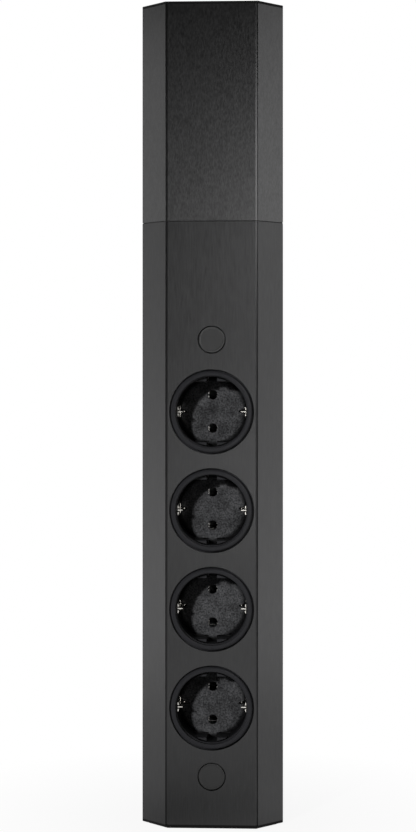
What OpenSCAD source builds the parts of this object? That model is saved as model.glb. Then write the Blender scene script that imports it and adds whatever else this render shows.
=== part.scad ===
// Corner socket tower: four earthed sockets in a six-sided aluminium profile that stands in the
// inside corner above a worktop, with a telescopic cable section on top.
// Millimetres. +Z is up, the flat front faces -Y, and the tower stands on z = 0.
// Inside the modules, the second coordinate is the depth behind the flat front.

/* [Profile] */
// Flat strip of the front beside a socket's cut-out
front_land = 2.3; // [2.2:0.1:6]
// How far each angled side runs outwards, and as far back
side_run = 14; // [13:1:18]
// Width of the flat along the rear corner
apex_w = 16; // [16:1:20]
// Wall of the front profile
wall = 2; // [1.8:0.1:2.4]
// Wall of the rear cover
rear_wall = 1.8; // [1.5:0.1:2]
// Length of the front profile's lip along each rear wing
lip_len = 12; // [11:0.5:14]
// Width of the shadow groove beside each front edge
groove_w = 1.2; // [0.8:0.1:1.4]
// Depth of the shadow groove
groove_depth = 0.8; // [0.4:0.1:1]

/* [Sections] */
// Length of the upper profile
upper_len = 121.5; // [70:0.5:200]
// Space between the guide and the top end cap's plate
top_space = 13.2; // [10:0.1:30]
// Gap between the two sections at rest
seam_gap = 0.4; // [0.3:0.1:0.8]
// Space at the foot of the lower profile, below the lower fixing sleeve
foot_space = 16.25; // [8:0.25:60]
// Height of the terminal space between the upper fixing sleeve and the guide
carrier_h = 28.55; // [27:0.05:120]
// Thickness of the rubber pad under the foot
pad_t = 1; // [0.8:0.1:2]
// Thickness of the end caps
cap_plate_t = 1.5; // [1.2:0.1:2.5]

/* [Sockets] */
// Strip of the front between two neighbouring cut-outs
socket_land = 7.9; // [7:0.1:20]
// Width of the visible ring
ring_w = 2.75; // [2.3:0.05:3.2]
// How far the ring stands in front of the profile
ring_proud = 0.6; // [0.3:0.1:1.2]
// Gap all round the ring in its cut-out
ring_gap = 0.7; // [0.4:0.05:0.8]
// Width of the step below the well's mouth
mouth_step = 0.45; // [0.3:0.05:0.7]
// How far the mouth reaches behind the front wall
mouth_lip = 0.4; // [0.2:0.1:2]
// Diameter of the well below its mouth
well_d = 39.6; // [39.4:0.1:40]
// Depth of the well from the ring's face to the floor
well_depth = 17.5; // [17:0.1:18.5]
// Thickness of the round floor insert
floor_t = 2.5; // [2:0.1:3]
// Diameter of a pin hole
pin_hole_d = 5.2; // [5.1:0.05:5.6]
// Distance between the two pin holes
pin_spacing = 19; // [18.8:0.1:19.2]
// Length of a plug pin that the chamber takes
pin_len = 19; // [18.5:0.1:19.3]

/* [Guide ledges in the well] */
// How far a ledge stands in from the well's wall
ledge_h = 2.7; // [2.2:0.1:3]
// Gap between the two ledges of a pair
ledge_gap = 5.7; // [5:0.1:7]
// How far the ledges stay behind the mouth's step
ledge_setback = 0.6; // [0.4:0.1:2]

/* [Screw covers] */
// How much higher the upper cover sits than its sleeve's plate needs
upper_cover_lift = 1.9; // [0:0.1:6]
// Diameter of a cover
cover_d = 15.2; // [14:0.1:16]
// How far the lower cover stands out
lower_cover_proud = 1; // [0.6:0.1:1.5]
// How far the upper cover stands out
upper_cover_proud = 0.4; // [0.3:0.1:1.5]
// Diameter of a wall screw hole in the rear
screw_hole_d = 5; // [4:0.1:5.5]

/* [Cable] */
// Diameter of the grommet's bore
cable_bore_d = 8.5; // [7:0.1:10]

/* [Hidden] */
$fn = 96;

// Shared clearances
cut_over = 1; // how far a cutting shape runs past a face
fit_gap = 0.1; // between pieces of one assembly
slide_gap = 0.4; // round the guide, on every side
curve_gap = 0.3; // between a cover and its hole, and between a pad and the front wall
joint_gap = 0.2; // at the lip's edge, and between the flanges in the rails

// Profile details
groove_edge = 0.4; // land between a groove and its front edge
rail_t = 1.5;
rail_play = 0.2; // behind a flange
rail_side_play = 0.3; // beside a flange
rail_hold = 2.1; // how much of a flange a rail holds
flange_t = 2;
cap_screw_r = 1.25;
channel_play = 0.15; // round a screw, for its thread
channel_wall = 1.4;
channel_hole_r = cap_screw_r + channel_play;
channel_r = channel_hole_r + channel_wall;
channel_merge = 0.3; // how far a screw channel sinks into the walls
tongue_t = 1.2;
tongue_gap = 0.15;
tongue_root = 2.5; // width of the tongue's root past the lip's edge

// Radii of a socket, from the well outwards
well_r = well_d / 2;
mouth_r = well_r + mouth_step;
ring_r = mouth_r + ring_w;
cutout_r = ring_r + ring_gap;

// Derived profile sizes
diag = sqrt(2);
half_front = cutout_r + front_land;
half_w = half_front + side_run;
wing_sum = half_w + side_run; // half width plus depth, anywhere on a wing
depth = wing_sum - apex_w / 2;
rail_front = wall + flange_t + rail_play;
rail_back = rail_front + rail_t;
flange_half = side_x(wall, wall) - rail_side_play;
rail_x = flange_half - rail_hold;
channel_in = wall + channel_r - channel_merge;
channel_x = half_w - channel_in * diag;
tongue_out = wall + tongue_gap;
tongue_in = tongue_out + tongue_t;
tongue_tip = channel_in + channel_r + slide_gap;
cover_start = lip_len + joint_gap;
proud_max = max(ring_proud, lower_cover_proud, upper_cover_proud);
front_y = -(depth - proud_max) / 2;

// Heights, from the foot up
socket_count = 4;
sleeve_plate_reach = 10.75; // from a cover's centre to its plate's free edge
guide_in_lower = 26.6; // how far the guide reaches down into the lower section
socket_pitch = 2 * cutout_r + socket_land;
socket_flange_half = (socket_pitch - joint_gap) / 2;
bottom_plate_z = pad_t;
lower_z = bottom_plate_z + cap_plate_t;
lower_sleeve_z0 = lower_z + foot_space;
lower_cover_z = lower_sleeve_z0 + sleeve_plate_reach;
lower_sleeve_z1 = lower_cover_z + sleeve_plate_reach;
first_socket_z = lower_sleeve_z1 + joint_gap + socket_flange_half;
upper_sleeve_z0 = socket_z(socket_count) + socket_flange_half + joint_gap;
upper_cover_z = upper_sleeve_z0 + sleeve_plate_reach + upper_cover_lift;
upper_sleeve_z1 = upper_cover_z + sleeve_plate_reach;
carrier_z0 = upper_sleeve_z1 + joint_gap;
carrier_z1 = carrier_z0 + carrier_h;
guide_z = carrier_z1 + joint_gap;
seam_z = guide_z + guide_in_lower;
upper_z = seam_z + seam_gap;
top_plate_z = upper_z + upper_len;
top_z = top_plate_z + cap_plate_t;
cover_heights = [lower_cover_z, upper_cover_z];

// Height of a socket's centre, and of one of its pins
function socket_z(n) = first_socket_z + (n - 1) * socket_pitch;
function pin_z(n, side) = socket_z(n) + side * pin_spacing / 2;

// x of the angled side at a depth, moved in by an inset
function side_x(d, inset) = half_front + d - inset * diag;
// x of the rear wing at a depth, moved in by an inset
function wing_x(d, inset) = wing_sum - d - inset * diag;
// A point at a distance along the right wing from its outer corner, moved in by an inset
function wing_point(along, inset) =
    [half_w - (along + inset) / diag, side_run + (along - inset) / diag];
// The right half of an outline, then the same points on the left in reverse
function both_halves(points) =
    concat(points, [for (i = [len(points) - 1 : -1 : 0]) [-points[i][0], points[i][1]]]);

// The tower's outer outline, moved in all round
function outer_outline(inset) = both_halves([
    [side_x(inset, inset), inset],
    [half_w - inset * diag, side_run],
    [wing_x(depth - inset, inset), depth - inset]
]);

// The outline that stays clear of rails, channels and tongues inside the profiles
inner_front = rail_back + slide_gap;
inner_side = wall + slide_gap;
inner_wing = tongue_in + slide_gap;
inner_apex = rear_wall + slide_gap;
inner_x = channel_x - channel_r - slide_gap;
function inner_outline(inset) = both_halves([
    [side_x(inner_front + inset, inner_side + inset), inner_front + inset],
    [inner_x - inset, inner_x - inset - half_front + (inner_side + inset) * diag],
    [inner_x - inset, wing_sum - (inner_wing + inset) * diag - inner_x + inset],
    [wing_x(depth - inner_apex - inset, inner_wing + inset), depth - inner_apex - inset]
]);

// Puts depth 0 on the flat front
module at_front() {
    translate([0, front_y, 0])
        children();
}

// A box from its two corners
module block(low, high) {
    translate(low)
        cube(high - low);
}

// A cylinder along the depth, from d0 to d1, with its axis at x, z
module bar_round(x, z, d0, d1, r) {
    translate([x, d0, z])
        rotate([-90, 0, 0])
            cylinder(h = d1 - d0, r = r);
}

// Both the shape and its mirror image
module left_and_right() {
    children();
    mirror([1, 0, 0])
        children();
}

/* Profiles */

module front_section() {
    groove_out = half_front - groove_edge;
    groove_in = groove_out - groove_w;
    difference() {
        union() {
            polygon(both_halves([
                [groove_in, 0],
                [groove_in, groove_depth],
                [groove_out, groove_depth],
                [groove_out, 0],
                [half_front, 0],
                [half_w, side_run],
                wing_point(lip_len, 0),
                wing_point(lip_len, wall),
                [half_w - wall * diag, side_run],
                [side_x(wall, wall), wall]
            ]));
            left_and_right() {
                polygon([
                    [rail_x, rail_front],
                    [side_x(rail_front, wall / 2), rail_front],
                    [side_x(rail_back, wall / 2), rail_back],
                    [rail_x, rail_back]
                ]);
                translate([channel_x, side_run])
                    circle(r = channel_r);
            }
        }
        left_and_right()
            translate([channel_x, side_run])
                circle(r = channel_hole_r);
    }
}

module rear_section() {
    polygon(both_halves([
        [wing_x(depth - rear_wall, rear_wall), depth - rear_wall],
        wing_point(cover_start + tongue_root, rear_wall),
        wing_point(cover_start + tongue_root, tongue_in),
        wing_point(tongue_tip, tongue_in),
        wing_point(tongue_tip, tongue_out),
        wing_point(cover_start, tongue_out),
        wing_point(cover_start, 0),
        [apex_w / 2, depth]
    ]));
}

cover_hole_r = cover_d / 2 + curve_gap;

module lower_front_shell() {
    color("#2b2b2c")
        at_front()
            difference() {
                translate([0, 0, lower_z])
                    linear_extrude(seam_z - lower_z)
                        front_section();
                for (n = [1 : socket_count])
                    bar_round(0, socket_z(n), -cut_over, wall + cut_over, cutout_r);
                for (z = cover_heights)
                    bar_round(0, z, -cut_over, wall + cut_over, cover_hole_r);
            }
}

module lower_rear_cover() {
    color("#2b2b2c")
        at_front()
            difference() {
                translate([0, 0, lower_z])
                    linear_extrude(seam_z - lower_z)
                        rear_section();
                for (z = cover_heights)
                    bar_round(0, z, depth - rear_wall - cut_over, depth + cut_over, screw_hole_d / 2);
                for (z = guide_screw_heights)
                    bar_round(0, z, depth - rear_wall - cut_over, depth + cut_over, guide_pilot_r);
            }
}

module upper_front_shell() {
    color("#2b2b2c")
        at_front()
            translate([0, 0, upper_z])
                linear_extrude(upper_len)
                    front_section();
}

module upper_rear_cover() {
    color("#2b2b2c")
        at_front()
            translate([0, 0, upper_z])
                linear_extrude(upper_len)
                    rear_section();
}

/* Telescopic guide */

guide_t = 1.5;
guide_over_pads = 4;
pad_h = 16;
pad_x0 = 6;
pad_side_gap = 2.8; // from a pad to the rail beside it
pad_x1 = rail_x - pad_side_gap;
stop_h = 6;
stop_up = 2; // from the upper profile's edge to the stop bar
stop_z = upper_z + stop_up;
guide_top = top_plate_z - top_space;
glide_z = guide_top - guide_over_pads - pad_h;
travel = glide_z - curve_gap - stop_h - stop_z; // how far the upper section slides up
guide_screw_r = 1.25;
guide_pilot_r = guide_screw_r + fit_gap;
guide_hole_r = guide_screw_r + slide_gap;
guide_head_r = 2.8;
guide_head_h = 1.6;
guide_screw_spread_share = 0.5; // of the guide's length inside the lower section
guide_screw_heights = [
    for (s = [-1, 1])
        guide_z + guide_in_lower / 2 * (1 + s * guide_screw_spread_share)
];
guide_apex = depth - inner_apex; // outer face of the guide's rear wall

module guide_profile() {
    color("#3a3a3b")
        at_front()
            difference() {
                translate([0, 0, guide_z])
                    linear_extrude(guide_top - guide_z)
                        difference() {
                            polygon(inner_outline(0));
                            polygon(inner_outline(guide_t));
                        }
                for (z = guide_screw_heights)
                    bar_round(0, z, guide_apex - guide_t - cut_over, guide_apex + cut_over, guide_hole_r);
            }
}

module guide_screws() {
    head_back = guide_apex - guide_t;
    color("#b5b5b5")
        at_front()
            for (z = guide_screw_heights) {
                bar_round(0, z, head_back - guide_head_h, head_back, guide_head_r);
                bar_round(0, z, head_back, depth - joint_gap, guide_screw_r);
            }
}

module glide_pads() {
    color("#1d1d1d")
        at_front()
            left_and_right()
                block([pad_x0, wall + curve_gap, glide_z], [pad_x1, inner_front, glide_z + pad_h]);
}

module stop_bar() {
    color("#1d1d1d")
        at_front() {
            block([-flange_half, wall, stop_z], [flange_half, wall + flange_t, stop_z + stop_h]);
            block([-pad_x1, wall + flange_t, stop_z], [pad_x1, inner_front - curve_gap, stop_z + stop_h]);
        }
}

/* End caps */

rim_h = 6;
rim_t = 1.5;
cap_screw_head_r = 2.7;
cap_screw_len = 10;
cap_hole_r = cap_screw_r + fit_gap;
grommet_neck_r = 6.9;
grommet_flange_r = 9;
grommet_flange_t = 1.2;
grommet_seat_t = 2.3; // of the end cap's material between the grommet's flanges
grommet_seat_r = 11.5;
grommet_d = depth / 2; // depth of the grommet's axis
seat_drop = grommet_flange_t + grommet_seat_t;

// A plate with its outer face at height 0 and its plug rim above, for the foot
module end_cap_body() {
    linear_extrude(cap_plate_t)
        polygon(outer_outline(0));
    translate([0, 0, cap_plate_t])
        linear_extrude(rim_h)
            difference() {
                polygon(inner_outline(0));
                polygon(inner_outline(rim_t));
            }
}

// The countersunk holes of an end cap whose outer face is at height 0
module end_cap_holes() {
    left_and_right()
        translate([channel_x, side_run, 0]) {
            translate([0, 0, -cut_over])
                cylinder(h = cap_plate_t + 2 * cut_over, r = cap_hole_r);
            cylinder(h = cap_plate_t, r1 = cap_screw_head_r + fit_gap, r2 = cap_hole_r);
        }
}

// Countersunk screws whose heads are flush with height 0
module end_cap_screw_pair() {
    left_and_right()
        translate([channel_x, side_run, 0]) {
            cylinder(h = cap_plate_t, r1 = cap_screw_head_r, r2 = cap_screw_r);
            cylinder(h = cap_screw_len, r = cap_screw_r);
        }
}

module bottom_end_cap() {
    color("#161616")
        at_front()
            translate([0, 0, bottom_plate_z])
                difference() {
                    end_cap_body();
                    end_cap_holes();
                }
}

module bottom_cap_screws() {
    color("#8a8a8a")
        at_front()
            translate([0, 0, bottom_plate_z])
                end_cap_screw_pair();
}

module top_end_cap() {
    color("#161616")
        at_front()
            translate([0, 0, top_z])
                mirror([0, 0, 1])
                    difference() {
                        union() {
                            end_cap_body();
                            translate([0, grommet_d, 0])
                                cylinder(h = seat_drop, r = grommet_seat_r);
                        }
                        end_cap_holes();
                        translate([0, grommet_d, -cut_over])
                            cylinder(h = seat_drop + 2 * cut_over, r = grommet_neck_r + fit_gap);
                        translate([0, grommet_d, -cut_over])
                            cylinder(h = cut_over + grommet_flange_t, r = grommet_flange_r + fit_gap);
                    }
}

module top_cap_screws() {
    color("#8a8a8a")
        at_front()
            translate([0, 0, top_z])
                mirror([0, 0, 1])
                    end_cap_screw_pair();
}

module cable_grommet() {
    color("#101010")
        at_front()
            translate([0, grommet_d, top_z])
                mirror([0, 0, 1])
                    difference() {
                        union() {
                            cylinder(h = grommet_flange_t, r = grommet_flange_r);
                            cylinder(h = seat_drop, r = grommet_neck_r);
                            translate([0, 0, seat_drop])
                                cylinder(h = grommet_flange_t, r = grommet_flange_r);
                        }
                        translate([0, 0, -cut_over])
                            cylinder(h = seat_drop + grommet_flange_t + 2 * cut_over, r = cable_bore_d / 2);
                    }
}

base_pad_inset = 2.5;

module base_pad() {
    color("#0f0f0f")
        at_front()
            linear_extrude(pad_t)
                polygon(outer_outline(base_pad_inset));
}

/* Sockets */

tube_wall = 2.2;
tube_r = well_r + tube_wall;
ring_edge_r = 1.4; // rounding of the ring's outer edge
mouth_edge_r = 0.4; // rounding at the well's mouth
floor_d = well_depth - ring_proud; // depth of the floor's face
floor_back = floor_d + floor_t;
step_d = wall + mouth_lip;
ledge_reach = well_r - ledge_h;
base_plate_inset = 1.9; // beside the plate, to the edge of the collar's flange
base_plate_gap = 1.55; // above and below the plate, to the edge of the collar's flange
base_plate_half_x = flange_half - base_plate_inset;
base_plate_half_z = socket_flange_half - base_plate_gap;
boss_edge = 3.5; // from a boss's axis to the edges of the base plate
boss_x = base_plate_half_x - boss_edge;
boss_z = base_plate_half_z - boss_edge;
boss_r = 2.6;
socket_screw_r = 1.2;
pilot_r = socket_screw_r + fit_gap;
socket_screw_len = 12;
socket_head_r = 2.6;
socket_head_h = 1.8;

module socket_collar(n) {
    z = socket_z(n);
    color("#232324")
        at_front()
            difference() {
                union() {
                    translate([0, 0, z])
                        rotate([-90, 0, 0])
                            collar_turned();
                    difference() {
                        block([-flange_half, wall, z - socket_flange_half],
                              [flange_half, wall + flange_t, z + socket_flange_half]);
                        bar_round(0, z, wall - cut_over, wall + flange_t + cut_over, (well_r + tube_r) / 2);
                    }
                    for (s = [-1, 1])
                        bar_round(s * boss_x, z + s * boss_z, wall + flange_t, floor_back, boss_r);
                    translate([0, floor_d, z])
                        rotate([90, 0, 0])
                            linear_extrude(floor_d - step_d - ledge_setback)
                                ledge_shapes();
                }
                for (s = [-1, 1])
                    bar_round(s * boss_x, z + s * boss_z, floor_back - socket_screw_len,
                              floor_back + cut_over, pilot_r);
            }
}

// The turned part of a collar: ring, mouth and tube, with depth along its axis
module collar_turned() {
    rotate_extrude()
        union() {
            translate([mouth_r, -ring_proud + ring_edge_r])
                square([ring_r - mouth_r, wall + ring_proud - ring_edge_r]);
            translate([mouth_r + mouth_edge_r, -ring_proud])
                square([ring_r - mouth_r - mouth_edge_r - ring_edge_r, ring_edge_r]);
            translate([ring_r - ring_edge_r, -ring_proud + ring_edge_r])
                intersection() {
                    circle(r = ring_edge_r);
                    translate([0, -ring_edge_r])
                        square(ring_edge_r);
                }
            translate([mouth_r + mouth_edge_r, -ring_proud + mouth_edge_r])
                intersection() {
                    circle(r = mouth_edge_r);
                    translate([-mouth_edge_r, -mouth_edge_r])
                        square(mouth_edge_r);
                }
            translate([mouth_r, -ring_proud + mouth_edge_r])
                square([mouth_edge_r, ring_edge_r - mouth_edge_r]);
            translate([mouth_r, wall])
                square([tube_r - mouth_r, step_d - wall]);
            translate([well_r, step_d])
                square([tube_r - well_r, floor_back - step_d]);
        }
}

// Two pairs of chord-shaped ledges, above and below the well's axis
module ledge_shapes() {
    for (turn = [0, 180])
        rotate(turn)
            left_and_right()
                intersection() {
                    circle(r = (well_r + tube_r) / 2);
                    translate([ledge_gap / 2, ledge_reach])
                        square([ledge_half - ledge_gap / 2, tube_r - ledge_reach]);
                }
}
ledge_half = sqrt(pow(well_r, 2) - pow(ledge_reach, 2)) + fit_gap;

// Earth clips and the slots that they pass through
clip_t = 0.8;
clip_gap = 0.6; // between a clip's outer face and the well's wall
clip_out = well_r - clip_gap;
clip_half = 4.2; // half its width
bead_rise = 2.2;
bead_foot = 1.7;
bead_peak = 0.6;
bead_back_share = 0.7; // of the bead's widths, for its hollow back
clip_setback = 0.7; // behind the mouth's step
slot_play = 0.5; // in the floor, inwards of the bead
clip_in = clip_out - clip_t;
bead_in = clip_in - bead_rise;
slot_in = bead_in - slot_play;
slot_half = clip_half + 2 * fit_gap;

module socket_floor(n) {
    color("#303031")
        at_front()
            difference() {
                bar_round(0, socket_z(n), floor_d, floor_back, well_r - fit_gap);
                for (side = [-1, 1])
                    bar_round(0, pin_z(n, side), floor_d - cut_over, floor_back + cut_over, pin_hole_d / 2);
                left_and_right()
                    block([slot_in, floor_d - cut_over, socket_z(n) - slot_half],
                          [well_r + cut_over, floor_back + cut_over, socket_z(n) + slot_half]);
            }
}

// Contact chamber block
base_plate_t = 2;
base_half_z = 18;
base_side_gap = 1.15; // between the block's back edges and the rear cover, across
rib_setback = 2.8; // least distance from the block's back to its outer ribs
base_back_t = 1.2;
bow_t = 0.8;
bow_half = 3;
leaf_t = 0.8;
leaf_grip = 0.6; // by which the leaves stand closer than the hole is wide
leaf_room = 0.5; // outside the leaves
leaf_gap = pin_hole_d - leaf_grip; // between the two leaves of a contact
chamber_half = leaf_gap / 2 + leaf_t + leaf_room;
leaf_half = 2.5;
leaf_slit = 1;
leaf_play = 0.4; // between the floor and the leaves' tips
tail_t = 0.8;
bar_t = 1.2;
bar_w = 5;
bar_step = 0.6; // from a base plate to the earth bar
bar_spacing = 2.5; // from the earth bar back to the live bar
rib_t = 1;
rib_out = 2.4;
plate_back = floor_back + base_plate_t;
pin_tip_d = floor_d + pin_len;
bridge_d = pin_tip_d + curve_gap;
contact_back = bridge_d + leaf_t;
chamber_back = contact_back + fit_gap;
earth_d0 = plate_back + bar_step;
earth_d1 = earth_d0 + bar_w;
mains_d0 = earth_d1 + bar_spacing;
mains_d1 = mains_d0 + bar_w;
base_back = max(chamber_back + base_back_t, mains_d1 + rib_t + rib_setback);
base_half_x = wing_x(base_back, rear_wall) - base_side_gap;
tab_half = 2.5;

module socket_base(n) {
    z = socket_z(n);
    color("#1c1c1c")
        at_front()
            difference() {
                union() {
                    block([-base_plate_half_x, floor_back, z - base_plate_half_z],
                          [base_plate_half_x, plate_back, z + base_plate_half_z]);
                    block([-base_half_x, floor_back, z - base_half_z],
                          [base_half_x, base_back, z + base_half_z]);
                    left_and_right()
                        for (d = [mains_d0 - rib_t - fit_gap, mains_d1 + fit_gap])
                            block([0, d, z - base_half_z],
                                  [base_half_x + rib_out, d + rib_t, z + base_half_z]);
                    block([-base_half_x - rib_out, earth_d1 + fit_gap, z - base_half_z],
                          [0, earth_d1 + fit_gap + rib_t, z + base_half_z]);
                }
                for (side = [-1, 1]) {
                    block([-chamber_half, floor_back - cut_over, pin_z(n, side) - chamber_half],
                          [chamber_half, chamber_back, pin_z(n, side) + chamber_half]);
                    mirror([(1 + side) / 2, 0, 0])
                        block([-base_half_x - cut_over, mains_d0 - fit_gap, pin_z(n, side) - tail_t],
                              [0, mains_d1 + fit_gap, pin_z(n, side) + tail_t]);
                }
                bow_groove(z);
                for (s = [-1, 1])
                    bar_round(s * boss_x, z + s * boss_z, floor_back - cut_over, plate_back + cut_over,
                              socket_screw_r + curve_gap);
            }
}

// The groove for the earth bow, and the way back for its tab
module bow_groove(z) {
    block([-clip_out - fit_gap, floor_back - cut_over, z - bow_half - fit_gap],
          [clip_out + fit_gap, floor_back + bow_t + fit_gap, z + bow_half + fit_gap]);
    left_and_right()
        block([bead_in - fit_gap, floor_back - cut_over, z - clip_half - fit_gap],
              [clip_out + fit_gap, floor_back + bow_t + fit_gap, z + clip_half + fit_gap]);
    block([-base_half_x, floor_back - cut_over, z - tab_half - fit_gap],
          [-base_half_x + bow_t + fit_gap, plate_back, z + tab_half + fit_gap]);
    block([-base_half_x - cut_over, plate_back, z - tab_half - fit_gap],
          [-base_half_x + bow_t + fit_gap, earth_d1 + fit_gap, z + tab_half + fit_gap]);
}

module socket_contacts(n) {
    color("#c9a227")
        at_front()
            for (side = [-1, 1]) {
                z = pin_z(n, side);
                left_and_right()
                    difference() {
                        block([leaf_gap / 2, floor_back + leaf_play, z - leaf_half],
                              [leaf_gap / 2 + leaf_t, contact_back, z + leaf_half]);
                        block([0, floor_back, z - leaf_slit / 2],
                              [chamber_half, mains_d0 - leaf_t, z + leaf_slit / 2]);
                    }
                block([-leaf_gap / 2 - leaf_t, bridge_d, z - leaf_half],
                      [leaf_gap / 2 + leaf_t, contact_back, z + leaf_half]);
                mirror([(1 + side) / 2, 0, 0])
                    block([-base_half_x, mains_d0, z - tail_t / 2],
                          [-leaf_gap / 2, mains_d1, z + tail_t / 2]);
            }
}

// One clip's section, in x and z, on the right of the axis
module clip_section() {
    polygon([
        [clip_out, -clip_half],
        [clip_out, -bead_foot * bead_back_share],
        [bead_in + clip_t, -bead_peak * bead_back_share],
        [bead_in + clip_t, bead_peak * bead_back_share],
        [clip_out, bead_foot * bead_back_share],
        [clip_out, clip_half],
        [clip_in, clip_half],
        [clip_in, bead_foot],
        [bead_in, bead_peak],
        [bead_in, -bead_peak],
        [clip_in, -bead_foot],
        [clip_in, -clip_half]
    ]);
}

module socket_earth_bow(n) {
    z = socket_z(n);
    color("#d8d2c0")
        at_front() {
            block([-clip_out, floor_back, z - bow_half], [clip_out, floor_back + bow_t, z + bow_half]);
            left_and_right() {
                block([bead_in, floor_back, z - clip_half], [clip_out, floor_back + bow_t, z + clip_half]);
                translate([0, floor_back, z])
                    rotate([90, 0, 0])
                        linear_extrude(floor_back - step_d - clip_setback)
                            clip_section();
            }
            block([-base_half_x, floor_back, z - tab_half],
                  [-base_half_x + bow_t, earth_d1, z + tab_half]);
        }
}

module socket_screws() {
    color("#b5b5b5")
        at_front()
            for (n = [1 : socket_count])
                for (s = [-1, 1]) {
                    x = s * boss_x;
                    z = socket_z(n) + s * boss_z;
                    bar_round(x, z, plate_back - socket_screw_len, plate_back, socket_screw_r);
                    bar_round(x, z, plate_back, plate_back + socket_head_h, socket_head_r);
                }
}

module socket_1_collar() { socket_collar(1); }
module socket_2_collar() { socket_collar(2); }
module socket_3_collar() { socket_collar(3); }
module socket_4_collar() { socket_collar(4); }
module socket_1_floor() { socket_floor(1); }
module socket_2_floor() { socket_floor(2); }
module socket_3_floor() { socket_floor(3); }
module socket_4_floor() { socket_floor(4); }
module socket_1_base() { socket_base(1); }
module socket_2_base() { socket_base(2); }
module socket_3_base() { socket_base(3); }
module socket_4_base() { socket_base(4); }
module socket_1_contacts() { socket_contacts(1); }
module socket_2_contacts() { socket_contacts(2); }
module socket_3_contacts() { socket_contacts(3); }
module socket_4_contacts() { socket_contacts(4); }
module socket_1_earth_bow() { socket_earth_bow(1); }
module socket_2_earth_bow() { socket_earth_bow(2); }
module socket_3_earth_bow() { socket_earth_bow(3); }
module socket_4_earth_bow() { socket_earth_bow(4); }

/* Wall fixing */

sleeve_r = 6.5;
sleeve_bore_r = 4.6;
stem_r = sleeve_bore_r - curve_gap;
stem_len = 7;
stem_slot_w = 1.2;
cover_edge_r = 0.4;

module fixing_sleeve(cover_z, z0, z1) {
    color("#202020")
        at_front()
            difference() {
                union() {
                    block([-flange_half, wall, z0], [flange_half, wall + flange_t, z1]);
                    bar_round(0, cover_z, wall, depth - rear_wall, sleeve_r);
                }
                bar_round(0, cover_z, wall - cut_over, depth - rear_wall + cut_over, sleeve_bore_r);
            }
}

module fixing_sleeve_lower() {
    fixing_sleeve(lower_cover_z, lower_sleeve_z0, lower_sleeve_z1);
}

module fixing_sleeve_upper() {
    fixing_sleeve(upper_cover_z, upper_sleeve_z0, upper_sleeve_z1);
}

// A cover with a rounded edge, its back on the sleeve's plate, and a split stem in the sleeve
module screw_cap(cover_z, proud) {
    cover_r = cover_d / 2;
    head_t = proud + wall;
    color("#2e2e2f")
        at_front()
            translate([0, wall, cover_z])
                rotate([90, 0, 0])
                    difference() {
                        union() {
                            rotate_extrude() {
                                square([cover_r, head_t - cover_edge_r]);
                                square([cover_r - cover_edge_r, head_t]);
                                translate([cover_r - cover_edge_r, head_t - cover_edge_r])
                                    intersection() {
                                        circle(r = cover_edge_r);
                                        square(cover_edge_r);
                                    }
                            }
                            translate([0, 0, -stem_len])
                                cylinder(h = stem_len, r = stem_r);
                        }
                        translate([-stem_r - cut_over, -stem_slot_w / 2, -stem_len - cut_over])
                            cube([2 * (stem_r + cut_over), stem_slot_w, stem_len]);
                    }
}

module screw_cap_lower() {
    screw_cap(lower_cover_z, lower_cover_proud);
}

module screw_cap_upper() {
    screw_cap(upper_cover_z, upper_cover_proud);
}

/* Bars and terminals */

terminal_up = 1.5; // from the carrier's lower edge to the terminal block
terminal_h = 14;
terminal_half = base_half_x + bar_t + rib_out;
terminal_z0 = carrier_z0 + terminal_up;
terminal_z1 = terminal_z0 + terminal_h;
terminal_front = earth_d0 - wall;
terminal_back = mains_d1 + fit_gap;
bar_in_block = 7;
bar_top = terminal_z0 + bar_in_block;
bar_below_pin = 4;
bar_bottom = pin_z(1, -1) - bar_below_pin;
earth_foot_h = 5;
earth_foot_x = 2.5;
post_x0 = 7;
post_x1 = 10;
wire_hole_r = 1.8;
terminal_screw_r = 1.5;
terminal_head_r = 2.2;
terminal_head_h = 1.4;
terminal_screw_up = 10.5; // from the block's underside
terminal_screw_z = terminal_z0 + terminal_screw_up;
pole_x = base_half_x + bar_t / 2;
earth_pole_d = (earth_d0 + earth_d1) / 2;
mains_pole_d = (mains_d0 + mains_d1) / 2;
clamp_above_block = 2;
clamp_h = 6;
clamp_z0 = terminal_z1 + clamp_above_block;
clamp_z1 = clamp_z0 + clamp_h;
clamp_post_x0 = 6;
clamp_post_x1 = 13;
clamp_seat_d = 12;
clamp_t = 2.5;
clamp_ridge_r = 1.5;
clamp_screw_x = (clamp_post_x0 + clamp_post_x1) / 2;
clamp_screw_r = 1.2;
clamp_tip_play = 1.5; // between a screw's tip and the plate
clamp_head_r = 2.4;
clamp_head_h = 1.6;

module mains_bar() {
    block([-base_half_x - bar_t, mains_d0, bar_bottom], [-base_half_x, mains_d1, bar_top]);
}

module live_bar() {
    color("#c9a227")
        at_front()
            mains_bar();
}

module neutral_bar() {
    color("#c9a227")
        at_front()
            mirror([1, 0, 0])
                mains_bar();
}

module earth_bar() {
    color("#c9a227")
        at_front() {
            block([-base_half_x - bar_t, earth_d0, bar_bottom], [-base_half_x, earth_d1, bar_top]);
            block([-base_half_x, earth_d0, bar_top - earth_foot_h],
                  [earth_foot_x, earth_d0 + bar_t, bar_top]);
        }
}

module terminal_carrier() {
    color("#202020")
        at_front()
            difference() {
                union() {
                    block([-flange_half, wall, carrier_z0], [flange_half, wall + flange_t, carrier_z1]);
                    left_and_right() {
                        block([post_x0, wall, terminal_z0], [post_x1, terminal_front, terminal_z1]);
                        block([clamp_post_x0, wall, clamp_z0], [clamp_post_x1, clamp_seat_d, clamp_z1]);
                    }
                }
                left_and_right()
                    bar_round(clamp_screw_x, (clamp_z0 + clamp_z1) / 2, wall + flange_t,
                              clamp_seat_d + cut_over, clamp_screw_r + fit_gap);
            }
}

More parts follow.
